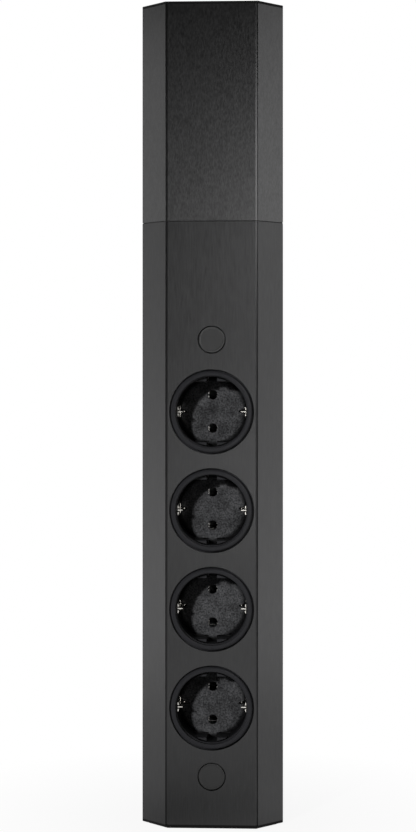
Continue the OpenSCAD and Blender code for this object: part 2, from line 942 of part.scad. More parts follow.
module terminal_block() {
    color("#d9d9d2")
        at_front()
            difference() {
                block([-terminal_half, terminal_front, terminal_z0],
                      [terminal_half, terminal_back, terminal_z1]);
                left_and_right()
                    block([base_half_x - fit_gap, mains_d0 - fit_gap, terminal_z0 - cut_over],
                          [base_half_x + bar_t + fit_gap, mains_d1 + cut_over, bar_top + fit_gap]);
                block([-base_half_x - bar_t - fit_gap, earth_d0 - fit_gap, terminal_z0 - cut_over],
                      [-base_half_x + fit_gap, earth_d1 + fit_gap, bar_top + fit_gap]);
                block([-base_half_x, earth_d0 - fit_gap, bar_top - earth_foot_h - fit_gap],
                      [earth_foot_x + fit_gap, earth_d0 + bar_t + fit_gap, bar_top + fit_gap]);
                for (x = [-pole_x, 0, pole_x]) {
                    translate([x, x == 0 ? earth_pole_d : mains_pole_d, bar_top + bar_t])
                        cylinder(h = terminal_h, r = wire_hole_r);
                    bar_round(x, terminal_screw_z, mains_pole_d, terminal_back + cut_over,
                              terminal_screw_r + fit_gap);
                }
            }
}

module terminal_screws() {
    color("#b5b5b5")
        at_front()
            for (x = [-pole_x, 0, pole_x]) {
                bar_round(x, terminal_screw_z, terminal_back - bar_w / 2, terminal_back, terminal_screw_r);
                bar_round(x, terminal_screw_z, terminal_back, terminal_back + terminal_head_h,
                          terminal_head_r);
            }
}

module cable_clamp() {
    z = (clamp_z0 + clamp_z1) / 2;
    color("#202020")
        at_front()
            difference() {
                union() {
                    block([-clamp_post_x1, clamp_seat_d, clamp_z0],
                          [clamp_post_x1, clamp_seat_d + clamp_t, clamp_z1]);
                    translate([-clamp_post_x0 + joint_gap, clamp_seat_d, z])
                        rotate([0, 90, 0])
                            cylinder(h = 2 * (clamp_post_x0 - joint_gap), r = clamp_ridge_r);
                }
                left_and_right()
                    bar_round(clamp_screw_x, z, clamp_seat_d - cut_over, clamp_seat_d + clamp_t + cut_over,
                              clamp_screw_r + curve_gap);
            }
}

module clamp_screws() {
    z = (clamp_z0 + clamp_z1) / 2;
    head_d = clamp_seat_d + clamp_t;
    color("#b5b5b5")
        at_front()
            left_and_right() {
                bar_round(clamp_screw_x, z, wall + flange_t + clamp_tip_play, head_d, clamp_screw_r);
                bar_round(clamp_screw_x, z, head_d, head_d + clamp_head_h, clamp_head_r);
            }
}

lower_front_shell();
lower_rear_cover();
upper_front_shell();
upper_rear_cover();
guide_profile();
guide_screws();
glide_pads();
stop_bar();
top_end_cap();
top_cap_screws();
bottom_end_cap();
bottom_cap_screws();
base_pad();
cable_grommet();
fixing_sleeve_lower();
fixing_sleeve_upper();
screw_cap_lower();
screw_cap_upper();
socket_1_collar();
socket_2_collar();
socket_3_collar();
socket_4_collar();
socket_1_floor();
socket_2_floor();
socket_3_floor();
socket_4_floor();
socket_1_base();
socket_2_base();
socket_3_base();
socket_4_base();
socket_1_contacts();
socket_2_contacts();
socket_3_contacts();
socket_4_contacts();
socket_1_earth_bow();
socket_2_earth_bow();
socket_3_earth_bow();
socket_4_earth_bow();
socket_screws();
live_bar();
neutral_bar();
earth_bar();
terminal_carrier();
terminal_block();
terminal_screws();
cable_clamp();
clamp_screws();
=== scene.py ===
"""Dresses the corner socket tower: brushed casings, sockets, covers, caps, screws and the studio."""

import math

import bmesh
import bpy
from bpy.props import FloatProperty, FloatVectorProperty, IntProperty, PointerProperty
from mathutils import Matrix, Vector


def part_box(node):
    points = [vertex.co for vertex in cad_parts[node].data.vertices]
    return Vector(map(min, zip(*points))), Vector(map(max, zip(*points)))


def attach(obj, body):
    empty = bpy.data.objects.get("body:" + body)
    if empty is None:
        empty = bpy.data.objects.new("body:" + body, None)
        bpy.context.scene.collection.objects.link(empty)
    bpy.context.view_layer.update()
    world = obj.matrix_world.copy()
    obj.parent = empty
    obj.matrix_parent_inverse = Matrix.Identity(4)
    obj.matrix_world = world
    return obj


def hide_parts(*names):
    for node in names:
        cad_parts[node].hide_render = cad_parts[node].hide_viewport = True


bl_info = {
    "name": "Corner Socket Tower",
    "version": (1, 0, 0),
    "blender": (4, 5, 0),
    "location": "3D View > Sidebar > Socket Tower",
    "description": "Builds the casings, sockets, covers and finishes of a corner socket tower",
    "category": "Object",
}

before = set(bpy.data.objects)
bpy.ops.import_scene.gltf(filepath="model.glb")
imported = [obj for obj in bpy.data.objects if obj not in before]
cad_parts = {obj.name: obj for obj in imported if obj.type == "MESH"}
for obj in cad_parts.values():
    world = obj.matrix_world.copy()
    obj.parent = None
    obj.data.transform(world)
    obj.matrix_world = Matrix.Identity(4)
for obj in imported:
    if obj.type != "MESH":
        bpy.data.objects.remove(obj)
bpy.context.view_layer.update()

MM = 0.001
DIAG = math.sqrt(2)
# How near two points count as one, how near to a plane counts as in it, how far cutters reach past
SAME_POINT = 0.001 * MM
NEAR = 0.01 * MM
OVER = 1 * MM
# Faces round a small hole or bar, and round a screw
SMALL_STEPS = 32
SCREW_STEPS = 40
# Edges sharper than the first two stay crisp, and those at sawn ends past the third are deburred
CREASE = math.radians(32)
METAL_CREASE = math.radians(40)
STEEP = math.radians(60)

# Places that the frame gives
FRONT_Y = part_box("upper_front_shell")[0].y
REAR_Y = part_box("upper_rear_cover")[1].y
HALF_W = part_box("upper_front_shell")[1].x
LOWER_Z = (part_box("lower_front_shell")[0].z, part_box("lower_front_shell")[1].z)
UPPER_Z = (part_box("upper_front_shell")[0].z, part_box("upper_front_shell")[1].z)
GUIDE_Z = (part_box("guide_profile")[0].z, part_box("guide_profile")[1].z)
SOCKETS = range(1, 5)
BEHIND_FRONT = Matrix.Translation((0, FRONT_Y, 0))


def middle(node):
    """The centre of a CAD node's box."""
    low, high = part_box(node)
    return (low + high) / 2


SOCKET_HEIGHTS = [middle(f"socket_{n}_floor").z for n in SOCKETS]
COVER_HEIGHTS = [middle(f"screw_cap_{place}").z for place in ("lower", "upper")]


# Properties


def length(name, description, millimetres):
    """A size that the sidebar shows, given here in millimetres."""
    return FloatProperty(
        name=name, description=description, default=millimetres * MM, unit="LENGTH", precision=5
    )


def number(name, description, value):
    """A plain number."""
    return FloatProperty(name=name, description=description, default=value)


def colour(name, description, value):
    """A linear colour."""
    return FloatVectorProperty(
        name=name, description=description, default=value, subtype="COLOR", min=0, max=1
    )


class CasingSizes(bpy.types.PropertyGroup):
    side_run: length("Side run", "How far each angled side runs outwards and back", 14)
    wall: length("Wall", "Wall of the front profiles", 2)
    rear_wall: length("Rear wall", "Wall of the rear covers", 1.8)
    lip_len: length("Lip", "Length of the front profile's lip along the rear wing", 12)
    lip_gap: length("Lip gap", "Gap between the lip and the rear cover", 0.2)
    groove_edge: length("Groove edge", "Land between a groove and its front edge", 0.06)
    groove_w: length("Groove width", "Width of the shadow groove", 1.35)
    groove_depth: length("Groove depth", "How deep the shadow groove slants in", 0.72)
    groove_r: length("Groove rounding", "Rounding of the groove's edges", 0.08)
    front_r: length("Front rounding", "Rounding of the two front edges", 0.3)
    corner_r: length("Corner rounding", "Rounding of the outer and rear edges", 0.25)
    inner_r: length("Inner rounding", "Rounding of the edges inside", 0.3)
    flange_t: length("Flange", "Thickness of the flanges in the rails", 2)
    rail_play: length("Rail play", "Play behind a flange", 0.2)
    rail_side_play: length("Rail side play", "Play beside a flange", 0.3)
    rail_hold: length("Rail hold", "How much of a flange a rail holds", 2.1)
    rail_t: length("Rail", "Thickness of a rail", 1.5)
    channel_r: length("Channel", "Outer radius of a screw channel", 2.8)
    channel_hole_r: length("Channel hole", "Radius of a screw channel's hole", 1.4)
    channel_merge: length("Channel merge", "How far a screw channel sinks into the walls", 0.3)
    tongue_t: length("Tongue", "Thickness of the rear cover's tongue", 1.2)
    tongue_gap: length("Tongue gap", "Gap between tongue and lip", 0.15)
    tongue_root: length("Tongue root", "Width of the tongue's root", 2.5)
    slide_gap: length("Slide gap", "Gap round the guide", 0.4)
    guide_t: length("Guide wall", "Wall of the guide", 1.5)
    hole_edge: length("Hole edge", "Chamfer round a cut-out", 0.12)
    end_edge: length("End edge", "Deburred edge of the sawn ends", 0.1)
    # The strip in the seam that these two place is painted shade: a black sheet where the seam's gap is dark
    shadow_strip_inset: length("Seal inset", "How far the seal in the seam lies inside the outline", 0.3)
    shadow_strip_play: length("Seal play", "Gap above the seal in the seam", 0.05)
    screw_hole_r: length("Screw hole", "Radius of the wall screw holes", 2.5)
    guide_pilot_r: length("Guide pilot", "Radius of the guide screws' threads in the cover", 1.35)
    guide_hole_r: length("Guide hole", "Radius of the guide screws' holes in the guide", 1.65)


class SocketSizes(bpy.types.PropertyGroup):
    ring_r: length("Ring", "Outer radius of the visible ring", 23)
    ring_proud: length("Ring height", "How far the ring stands in front of the casing", 0.6)
    ring_gap: length("Ring gap", "Gap round the ring in its cut-out", 0.7)
    ring_edge_r: length("Ring rounding", "Rounding of the ring's outer edge", 1.4)
    mouth_r: length("Mouth", "Radius of the well's mouth", 20.25)
    mouth_edge_r: length("Mouth rounding", "Rounding at the mouth", 0.4)
    mouth_d: length("Mouth depth", "Depth of the step below the mouth", 2.4)
    well_r: length("Well", "Radius of the well", 19.8)
    tube_wall: length("Tube wall", "Wall of the well's tube", 2.2)
    floor_d: length("Floor depth", "Depth of the well's floor behind the casing's front", 16.9)
    floor_t: length("Floor", "Thickness of the floor insert", 2.5)
    floor_gap: length("Floor gap", "Gap round the floor insert", 0.1)
    rim_w: length("Floor rim", "Width of the sloped rim round the floor insert", 2.6)
    rim_drop: length("Rim drop", "How far the sloped rim falls away", 1.8)
    pin_spacing: length("Pin spacing", "Distance between the two pin holes", 19)
    pin_hole_r: length("Pin hole", "Radius of a pin hole", 2.7)
    pin_edge: length("Pin hole edge", "Rounding of a pin hole", 0.25)
    ledge_h: length("Ledge", "How far a guide ledge stands in from the wall", 2.7)
    ledge_gap: length("Ledge gap", "Gap between the ledges of a pair", 5.7)
    ledge_d: length("Ledge depth", "Where a ledge starts", 3)
    ledge_r: length("Ledge rounding", "Rounding of a ledge's edges", 0.35)
    ledge_slot: length("Ledge slot", "Gap round the ledges in the floor insert", 0.5)
    ledge_clear: length("Ledge clearance", "Gap between the wall and the ledges' free ends", 0.7)
    ledge_free: length("Ledge free end", "Length of the ledges' free ends", 5)
    boss_r: length("Boss", "Radius of the screw bosses", 2.6)
    boss_pilot_r: length("Boss pilot", "Radius of the holes in the screw bosses", 1.3)


class CoverSizes(bpy.types.PropertyGroup):
    cover_r: length("Cover", "Radius of a screw cover", 7.35)
    hole_gap: length("Hole gap", "Gap between a cover and its hole", 0.4)
    lower_lift: length("Lower lift", "How far the lower cover sits above its hole's middle", 0.37)
    upper_lift: length("Upper lift", "How far the upper cover sits above its hole's middle", 0.2)
    edge_r: length("Rounding", "Rounding of a cover's edge", 0.13)
    stem_r: length("Stem", "Radius of the split stem", 4.3)
    stem_len: length("Stem length", "Length of the split stem", 7)
    stem_slot: length("Stem slot", "Width of the slot in the stem", 1.2)


class EarthSizes(bpy.types.PropertyGroup):
    strip_t: length("Strip", "Thickness of the strip behind the floor", 0.8)
    clip_t: length("Clip", "Thickness of a clip", 0.6)
    clip_gap: length("Clip gap", "Gap between a clip and the well's wall", 0.6)
    clip_half: length("Clip half", "Half the width of a clip", 3.8)
    bead_rise: length("Bead", "How far the bead stands in from its clip", 2.2)
    bead_foot: length("Bead foot", "Half the width of the bead at the clip", 0.3)
    bead_peak: length("Bead peak", "Half the width of the bead at its peak", 0.22)
    bead_notch: length("Bead notch", "Width of the notches beside the bead", 0.8)
    notch_depth: length("Notch depth", "Depth of the notches from the free edge", 14.4)
    side_t: length("Clip side", "Thickness of a clip at its sides", 0.2)
    tip_cut: length("Tip cut", "Slanted corners of a clip's free edge", 1.3)
    clip_d: length("Clip depth", "Where a clip starts", 3.1)
    slot_fit: length("Slot fit", "Play round a clip in the slot through the floor", 0.15)
    slot_play: length("Pocket play", "Play round a clip in the pocket in front of its slot", 0.5)
    slot_reach: length("Pocket reach", "How far the pocket runs past the bead", 1.1)
    pocket_depth: length("Pocket depth", "Depth of the pocket in the floor", 2)
    strip_half: length("Strip half", "Half the width of the strip behind the floor", 3)
    tab_half: length("Tab half", "Half the width of the tab to the earth bar", 2.5)


class PinSizes(bpy.types.PropertyGroup):
    leaf_t: length("Leaf", "Thickness of a contact leaf", 0.6)
    leaf_gap: length("Leaf gap", "Gap between the two leaves of a contact", 4.7)
    leaf_half: length("Leaf half", "Half the width of a leaf", 2.3)
    leaf_slit: length("Slit", "Slit that splits a leaf into two fingers", 1)
    leaf_play: length("Leaf play", "Between the floor insert and the leaves' tips", 0.2)
    nose: length("Nose", "How far a finger's rounded nose stands in from its leaf", 0.35)
    nose_len: length("Nose length", "Length of a finger's rounded nose", 1)
    back_gap: length("Back strip gap", "Between the leaves and the strip that joins them", 0.4)
    overlap: length("Overlap", "How far a finger is let into the leaf that it springs from", 0.1)
    tail_t: length("Tail", "Thickness of the tail to the bar", 0.8)


class FinishColours(bpy.types.PropertyGroup):
    anodised: colour("Anodised", "Black anodised aluminium", (0.05, 0.05, 0.0505))
    anodised_upper: colour("Anodised upper", "The upper section's anodising", (0.069, 0.069, 0.0695))
    aluminium: colour("Aluminium", "Drawn aluminium", (0.33, 0.33, 0.33))
    socket: colour("Socket", "Satin socket plastic", (0.023, 0.0231, 0.0255))
    floor: colour("Floor", "Grained floor insert", (0.058, 0.0585, 0.061))
    cover: colour("Cover", "Screw covers", (0.05, 0.05, 0.05))
    end_cap: colour("End cap", "End caps", (0.007, 0.007, 0.007))
    inner: colour("Inner plastic", "Plastic parts inside", (0.02, 0.02, 0.02))
    terminal: colour("Terminal", "Terminal block", (0.7, 0.7, 0.66))
    rubber: colour("Rubber", "Foot pad and grommet", (0.015, 0.015, 0.015))
    brass: colour("Brass", "Contact brass", (0.72, 0.53, 0.2))
    nickel: colour("Nickel", "Nickel-plated spring strip", (0.68, 0.66, 0.62))
    tin: colour("Tin", "Tinned pin contacts", (0.55, 0.54, 0.52))
    steel: colour("Steel", "Zinc-plated screws", (0.6, 0.6, 0.6))


class StageSettings(bpy.types.PropertyGroup):
    camera_x: length("Camera right", "How far right of the tower the camera stands", 42)
    camera_z: length("Camera height", "Height of the camera", 248.6)
    camera_distance: length("Camera distance", "From the flat front to the camera", 1000)
    lens: number("Lens", "Focal length in millimetres", 77.34)
    horizon_px: number("Horizon", "Pixels from the middle up to the horizon", 30.4)
    front_px: number("Front", "Pixels from the middle to the front's middle", 3.6)
    key_level: number("Key", "Strength of the key light", 2.5)
    panel_level: number("Panels", "Level of the soft panels at the sides", 1)
    strip_level: number("Strips", "Level of the gloss strips near the front", 1)
    room_level: number("Room", "Light that the room gives all round", 0.01)
    dim_level: number("Dim side", "How bright the room's front shows in gloss", 0.03)


class SocketTower(bpy.types.PropertyGroup):
    casing: PointerProperty(type=CasingSizes)
    socket: PointerProperty(type=SocketSizes)
    cover: PointerProperty(type=CoverSizes)
    earth: PointerProperty(type=EarthSizes)
    pin: PointerProperty(type=PinSizes)
    finish: PointerProperty(type=FinishColours)
    stage: PointerProperty(type=StageSettings)
    arc_steps: IntProperty(name="Arc steps", description="Faces of a small rounding", default=4)
    turn_steps: IntProperty(name="Turn steps", description="Faces round a turned piece", default=128)


# Mesh helpers


def soften(corners, steps):
    """The outline's points, with each corner (x, y, radius) turned into an arc."""
    most_of_side = 0.49
    straight = math.pi - math.radians(1)
    points = []
    for i, (x, y, radius) in enumerate(corners):
        here = Vector((x, y))
        before = Vector(corners[i - 1][:2]) - here
        after = Vector(corners[(i + 1) % len(corners)][:2]) - here
        angle = before.angle(after)
        if radius <= 0 or angle > straight:
            points.append(here)
            continue
        reach = min(radius / math.tan(angle / 2), most_of_side * before.length, most_of_side * after.length)
        radius = reach * math.tan(angle / 2)
        before, after = before.normalized(), after.normalized()
        centre = here + (before + after).normalized() * (radius / math.sin(angle / 2))
        start = here + before * reach - centre
        turn = start.angle_signed(here + after * reach - centre)
        points += [centre + Matrix.Rotation(-turn * step / steps, 2) @ start for step in range(steps + 1)]
    return points


def both_halves(points):
    """The right half of an outline, then the same corners on the left in reverse."""
    return points + [(-x, y, radius) for x, y, radius in reversed(points)]


def new_object(name, data):
    """A linked object at the origin."""
    obj = bpy.data.objects.new(name, data)
    bpy.context.scene.collection.objects.link(obj)
    return obj


def from_bmesh(name, bm):
    """A linked object from a finished bmesh, its doubles merged and its faces turned outwards."""
    bmesh.ops.remove_doubles(bm, verts=bm.verts, dist=SAME_POINT)
    bmesh.ops.recalc_face_normals(bm, faces=bm.faces)
    mesh = bpy.data.meshes.new(name)
    bm.to_mesh(mesh)
    bm.free()
    return new_object(name, mesh)


def placed(a, b, level, along):
    """A point from its level along an axis and its coordinates on the other two."""
    return {"X": (level, a, b), "Y": (a, level, b), "Z": (a, b, level)}[along]


def turned(name, corners, steps, arc_steps, centre=(0, 0), along="Y", start=0):
    """A turned solid from corners (radius, place along the axis from a start, rounding)."""
    bm = bmesh.new()
    rings = []
    for point in soften([(radius, start + place, r) for radius, place, r in corners], arc_steps):
        ring = []
        for step in range(steps if point.x > 0 else 1):
            turn = 2 * math.pi * step / steps
            a = centre[0] + point.x * math.cos(turn)
            b = centre[1] + point.x * math.sin(turn)
            ring.append(bm.verts.new(placed(a, b, point.y, along)))
        rings.append(ring)
    for ring, following in zip(rings, rings[1:] + rings[:1]):
        for step in range(steps):
            ahead = (step + 1) % steps
            near = [ring[step % len(ring)], ring[ahead % len(ring)]]
            far = [following[ahead % len(following)], following[step % len(following)]]
            face = list(dict.fromkeys(near + far))
            if len(face) > 2:
                bm.faces.new(face)
    return from_bmesh(name, bm)


def enclose(bm, first, second):
    """Makes the faces between two rings of points and over both."""
    for i, point in enumerate(first):
        j = (i + 1) % len(first)
        bm.faces.new((point, first[j], second[j], second[i]))
    bm.faces.new(first)
    bm.faces.new(second)


def prism(name, points, one, other, along="Z"):
    """A prism of an outline, whose two coordinates are the other axes, between two levels."""
    bm = bmesh.new()
    rings = [[bm.verts.new(placed(a, b, level, along)) for a, b in points] for level in sorted((one, other))]
    enclose(bm, *rings)
    return from_bmesh(name, bm)


def soft_box(name, one, other, edge=0.0):
    """A box between two corners, with bevelled edges."""
    low, high = (Vector(map(pick, one, other)) for pick in (min, max))
    place = Matrix.Translation((low + high) / 2) @ Matrix.Diagonal((*(high - low), 1))
    bm = bmesh.new()
    bmesh.ops.create_cube(bm, size=1, matrix=place)
    if edge > 0:
        bmesh.ops.bevel(bm, geom=bm.edges, offset=edge, segments=2, profile=0.5, affect="EDGES")
    return from_bmesh(name, bm)


def settle(obj):
    """Turns the object's modifiers into its mesh."""
    evaluated = obj.evaluated_get(bpy.context.evaluated_depsgraph_get())
    mesh = bpy.data.meshes.new_from_object(evaluated)
    obj.modifiers.clear()
    spent = obj.data
    obj.data = mesh
    bpy.data.meshes.remove(spent)
    mesh.name = obj.name
    return obj


def combine(base, others, operation):
    """Adds or cuts other solids, which are used up."""
    for other in others:
        step = base.modifiers.new("combine", "BOOLEAN")
        step.operation = operation
        step.solver = "EXACT"
        step.object = other
    settle(base)
    for other in others:
        bpy.data.objects.remove(other)
    return base


def joined(name, parts):
    """One object that holds the meshes of several, which are used up."""
    bm = bmesh.new()
    for part in parts:
        bm.from_mesh(part.data)
        bpy.data.objects.remove(part)
    return from_bmesh(name, bm)


def smooth(obj, crease=CREASE):
    """Smooth faces with crisp edges past an angle, and normals that keep flats flat."""
    mesh = obj.data
    mesh.polygons.foreach_set("use_smooth", [True] * len(mesh.polygons))
    mesh.set_sharp_from_angle(angle=crease)
    weighted = obj.modifiers.new("flat faces", "WEIGHTED_NORMAL")
    weighted.keep_sharp = True
    weighted.weight = 80
    return settle(obj)


def bevel_edges(obj, wanted, width, segments=1):
    """Bevels the edges that a test picks."""
    bm = bmesh.new()
    bm.from_mesh(obj.data)
    edges = [edge for edge in bm.edges if wanted(edge)]
    bmesh.ops.bevel(bm, geom=edges, offset=width, segments=segments, profile=0.5, affect="EDGES",
                    clamp_overlap=True)
    bm.to_mesh(obj.data)
    bm.free()


def soften_ends(obj, heights, width):
    """Deburrs the sharp edges that lie in the planes of a profile's sawn ends."""
    def in_an_end(edge):
        flat = any(all(abs(vert.co.z - height) < NEAR for vert in edge.verts) for height in heights)
        return flat and len(edge.link_faces) == 2 and edge.calc_face_angle(0) > STEEP

    bevel_edges(obj, in_an_end, width)


def islands(node):
    """The x and z of the centre of every separate solid in a CAD node."""
    bm = bmesh.new()
    bm.from_mesh(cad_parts[node].data)
    bmesh.ops.remove_doubles(bm, verts=bm.verts, dist=SAME_POINT)
    waiting = set(bm.verts)
    centres = []
    while waiting:
        found, to_visit = set(), [min(waiting, key=lambda vert: vert.index)]
        while to_visit:
            vert = to_visit.pop()
            if vert not in found:
                found.add(vert)
                to_visit += [edge.other_vert(vert) for edge in vert.link_edges]
        waiting -= found
        spans = [[vert.co[axis] for vert in found] for axis in (0, 2)]
        centres.append([(min(span) + max(span)) / 2 for span in spans])
    bm.free()
    return centres


def hand_over(piece, body, slot, finish_name, *nodes):
    """Puts a piece with its finish on its body in place of its CAD nodes."""
    piece.data.materials.clear()
    piece.data.materials.append(finish(finish_name))
    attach(piece, body)
    if nodes:
        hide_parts(*nodes)


# Node trees


def add_node(tree, kind, inputs=None, **settings):
    """A new node with its settings, whose inputs take plain values or other nodes' outputs."""
    node = tree.nodes.new(kind)
    for name, value in settings.items():
        setattr(node, name, value)
    for label, value in (inputs or {}).items():
        if isinstance(value, bpy.types.NodeSocket):
            tree.links.new(value, node.inputs[label])
        else:
            node.inputs[label].default_value = value
    return node


def new_tree(name, **inputs):
    """A geometry tree with named inputs, and the sockets that they give."""
    tree = bpy.data.node_groups.new(name, "GeometryNodeTree")
    tree.interface.new_socket("Geometry", in_out="OUTPUT", socket_type="NodeSocketGeometry")
    for label, kind in inputs.items():
        tree.interface.new_socket(label, in_out="INPUT", socket_type=f"NodeSocket{kind}")
    return tree, tree.nodes.new("NodeGroupInput").outputs


def finish_tree(tree, source, given):
    """Ends a tree in Realize Instances and Set Material."""
    real = add_node(tree, "GeometryNodeRealizeInstances", {"Geometry": source}).outputs[0]
    painted = add_node(tree, "GeometryNodeSetMaterial", {"Geometry": real, "Material": given["Material"]})
    add_node(tree, "NodeGroupOutput", {0: painted.outputs[0]})
    return tree


def geometry_of(tree, thing):
    """The geometry of an object input."""
    return add_node(tree, "GeometryNodeObjectInfo", {"Object": thing}).outputs["Geometry"]


def profile_tree():
    """Sweeps the outlines of an extruded profile from foot to top and cuts its holes."""
    tree, given = new_tree("extruded profile", Section="Object", Cutters="Object", Foot="Float",
                           Top="Float", Material="Material")
    foot, top = (add_node(tree, "ShaderNodeCombineXYZ", {"Z": given[label]}) for label in ("Foot", "Top"))
    line = add_node(tree, "GeometryNodeCurvePrimitiveLine", {"Start": foot.outputs[0], "End": top.outputs[0]})
    sweep = add_node(tree, "GeometryNodeCurveToMesh", {
        "Curve": line.outputs[0], "Profile Curve": geometry_of(tree, given["Section"]), "Fill Caps": True})
    merge = add_node(tree, "GeometryNodeMeshBoolean", {"Mesh 2": sweep.outputs[0], "Self Intersection": True},
                     operation="UNION", solver="EXACT")
    cut = add_node(tree, "GeometryNodeMeshBoolean", {
        "Mesh 1": merge.outputs["Mesh"], "Mesh 2": geometry_of(tree, given["Cutters"])},
        operation="DIFFERENCE", solver="EXACT")
    return finish_tree(tree, cut.outputs["Mesh"], given)


def places_tree():
    """Sets one piece on every point of another object."""
    tree, given = new_tree("piece on places", Piece="Object", Places="Object", Turn="Vector",
                           Material="Material")
    points = add_node(tree, "GeometryNodeMeshToPoints", {"Mesh": geometry_of(tree, given["Places"])})
    copies = add_node(tree, "GeometryNodeInstanceOnPoints", {
        "Points": points.outputs[0], "Rotation": given["Turn"],
        "Instance": geometry_of(tree, given["Piece"])})
    return finish_tree(tree, copies.outputs[0], given)


def run_tree(name, tree, values, spent):
    """Runs a tree on an empty object and keeps its result as a plain mesh."""
    obj = new_object(name, bpy.data.meshes.new(name))
    maker = obj.modifiers.new(tree.name, "NODES")
    maker.node_group = tree
    for item in tree.interface.items_tree:
        if item.in_out == "INPUT":
            maker[item.identifier] = values[item.name]
    obj.update_tag()
    settle(obj)
    if not obj.data.polygons:
        raise RuntimeError(f"{name} came out empty")
    for helper in spent:
        bpy.data.objects.remove(helper)
    return obj


def on_places(name, piece, places, finish_name, turn=(0, 0, 0)):
    """Copies of one piece at several places, as one mesh."""
    mesh = bpy.data.meshes.new("places")
    mesh.from_pydata(places, [], [])
    points = new_object("places", mesh)
    tree = bpy.data.node_groups.get("piece on places") or places_tree()
    values = {"Piece": piece, "Places": points, "Turn": turn, "Material": finish(finish_name)}
    return run_tree(name, tree, values, [piece, points])


def socket_row(name, piece, finish_name, slot, node, crease=CREASE):
    """Sets a socket's piece, made round height zero, at the four sockets in place of their CAD nodes."""
    row = on_places(name, piece, [(0, 0, z) for z in SOCKET_HEIGHTS], finish_name)
    nodes = [f"socket_{n}_{node}" for n in SOCKETS]
    hand_over(smooth(row, crease), "lower_casing", slot, finish_name, *nodes)


# Materials


def texture_place(tree, scale=(1, 1, 1)):
    """Object coordinates in metres, stretched by a scale for each axis."""
    place = tree.nodes.new("ShaderNodeTexCoord").outputs["Object"]
    return add_node(tree, "ShaderNodeMapping", {"Vector": place, "Scale": scale}).outputs[0]


def depth_place(tree, place):
    """The Y coordinate of a place."""
    return add_node(tree, "ShaderNodeSeparateXYZ", {0: place}).outputs["Y"]


def noise(tree, scale, detail, rough=0.5):
    """A noise pattern on object coordinates."""
    place = texture_place(tree, scale)
    return add_node(tree, "ShaderNodeTexNoise", {
        "Vector": place, "Scale": 1, "Detail": detail, "Roughness": rough}).outputs["Fac"]


def spread(tree, value, low, high, start=0.3, end=0.7):
    """Maps a pattern's usual range onto a range of values."""
    return add_node(tree, "ShaderNodeMapRange", {
        "Value": value, "From Min": start, "From Max": end, "To Min": low, "To Max": high}).outputs["Result"]


def times(tree, first, second):
    """The product of two patterns."""
    return add_node(tree, "ShaderNodeMath", {0: first, 1: second}, operation="MULTIPLY").outputs[0]


def varied(tree, pattern, below, above=None):
    """A pattern of lighter and darker round one."""
    return spread(tree, pattern, 1 - below, 1 + (below if above is None else above))


def new_finish(constants):
    """A material with constants on its shader's own sockets, and its tree."""
    material = bpy.data.materials.new("finish")
    material.use_nodes = True
    for label, value in constants.items():
        material.node_tree.nodes["Principled BSDF"].inputs[label].default_value = value
    return material, material.node_tree


def dress(material, tint, tone, rough, height, depth):
    """Joins a material's shader to its patterns of tone, roughness and relief, whose depth is in mm."""
    tree = material.node_tree
    shade = add_node(tree, "ShaderNodeVectorMath", {0: tint, "Scale": tone}, operation="SCALE")
    relief = add_node(tree, "ShaderNodeBump", {"Height": height, "Distance": depth * MM, "Strength": 1})
    shader = tree.nodes["Principled BSDF"]
    sources = {"Base Color": shade.outputs[0], "Roughness": rough, "Normal": relief.outputs[0]}
    for label, source in sources.items():
        tree.links.new(source, shader.inputs[label])
    return material


def brushed(tint, streak, cloud, across=2600, along=150):
    """Anodised aluminium brushed along the tower, with fine streaks and a faint cloudiness."""
    material, tree = new_finish({"Metallic": 1, "Anisotropic": 0.7})
    hair = noise(tree, (across * 2.5, across * 2.5, along * 1.7), 2)
    line = noise(tree, (across, across, along), 3, 0.65)
    patch = noise(tree, (420, 420, 170), 3)
    streaks = times(tree, varied(tree, hair, streak / 2), varied(tree, line, streak))
    tone = times(tree, streaks, varied(tree, patch, cloud))
    grain = add_node(tree, "ShaderNodeTangent", direction_type="RADIAL", axis="Z")
    tree.links.new(grain.outputs[0], tree.nodes["Principled BSDF"].inputs["Tangent"])
    return dress(material, tint, tone, rough=spread(tree, line, 0.34, 0.44), height=hair, depth=0.004)


def moulded(tint, rough, grain=900, depth=0.01, specular=0.4, mottle=0.12, painted_shade=None):
    """Moulded plastic with a fine spark-eroded grain, and painted shade that darkens it between two depths
    and behind.
    """
    material, tree = new_finish({"Specular IOR Level": specular})
    fine = noise(tree, (grain * 2,) * 3, 4, 0.65)
    broad = noise(tree, (grain / 4,) * 3, 3)
    tone = times(tree, varied(tree, fine, mottle), varied(tree, broad, mottle / 2))
    # Painted shade: the colour falls from full to a level between two depths behind the front, and stays at
    # that level deeper in
    if painted_shade:
        start, end, level = painted_shade
        tone = times(tree, tone, spread(tree, depth_place(tree, texture_place(tree)), 1, level,
                                        FRONT_Y + start * MM, FRONT_Y + end * MM))
    return dress(material, tint, tone, spread(tree, fine, rough - 0.06, rough + 0.06), fine, depth)


def bare_metal(tint, rough, mottle=0.1):
    """Rolled or plated metal with fine drawing marks."""
    material, tree = new_finish({"Metallic": 1})
    marks = noise(tree, (3000, 400, 400), 3)
    stain = noise(tree, (300, 300, 300), 3)
    tone = times(tree, varied(tree, marks, mottle, mottle / 2), varied(tree, stain, mottle, mottle / 2))
    shine = spread(tree, marks, rough - 0.08, rough + 0.08)
    return dress(material, tint, tone, rough=shine, height=marks, depth=0.003)


def rubber(tint):
    """Matt rubber with a powdery bloom."""
    material, tree = new_finish({"Specular IOR Level": 0.25, "Sheen Weight": 0.15, "Sheen Roughness": 0.6})
    bloom = noise(tree, (220, 220, 220), 5, 0.6)
    pores = noise(tree, (2600, 2600, 2600), 2)
    tone = varied(tree, bloom, 0.25, 0.35)
    return dress(material, tint, tone, rough=spread(tree, bloom, 0.72, 0.86), height=pores, depth=0.02)


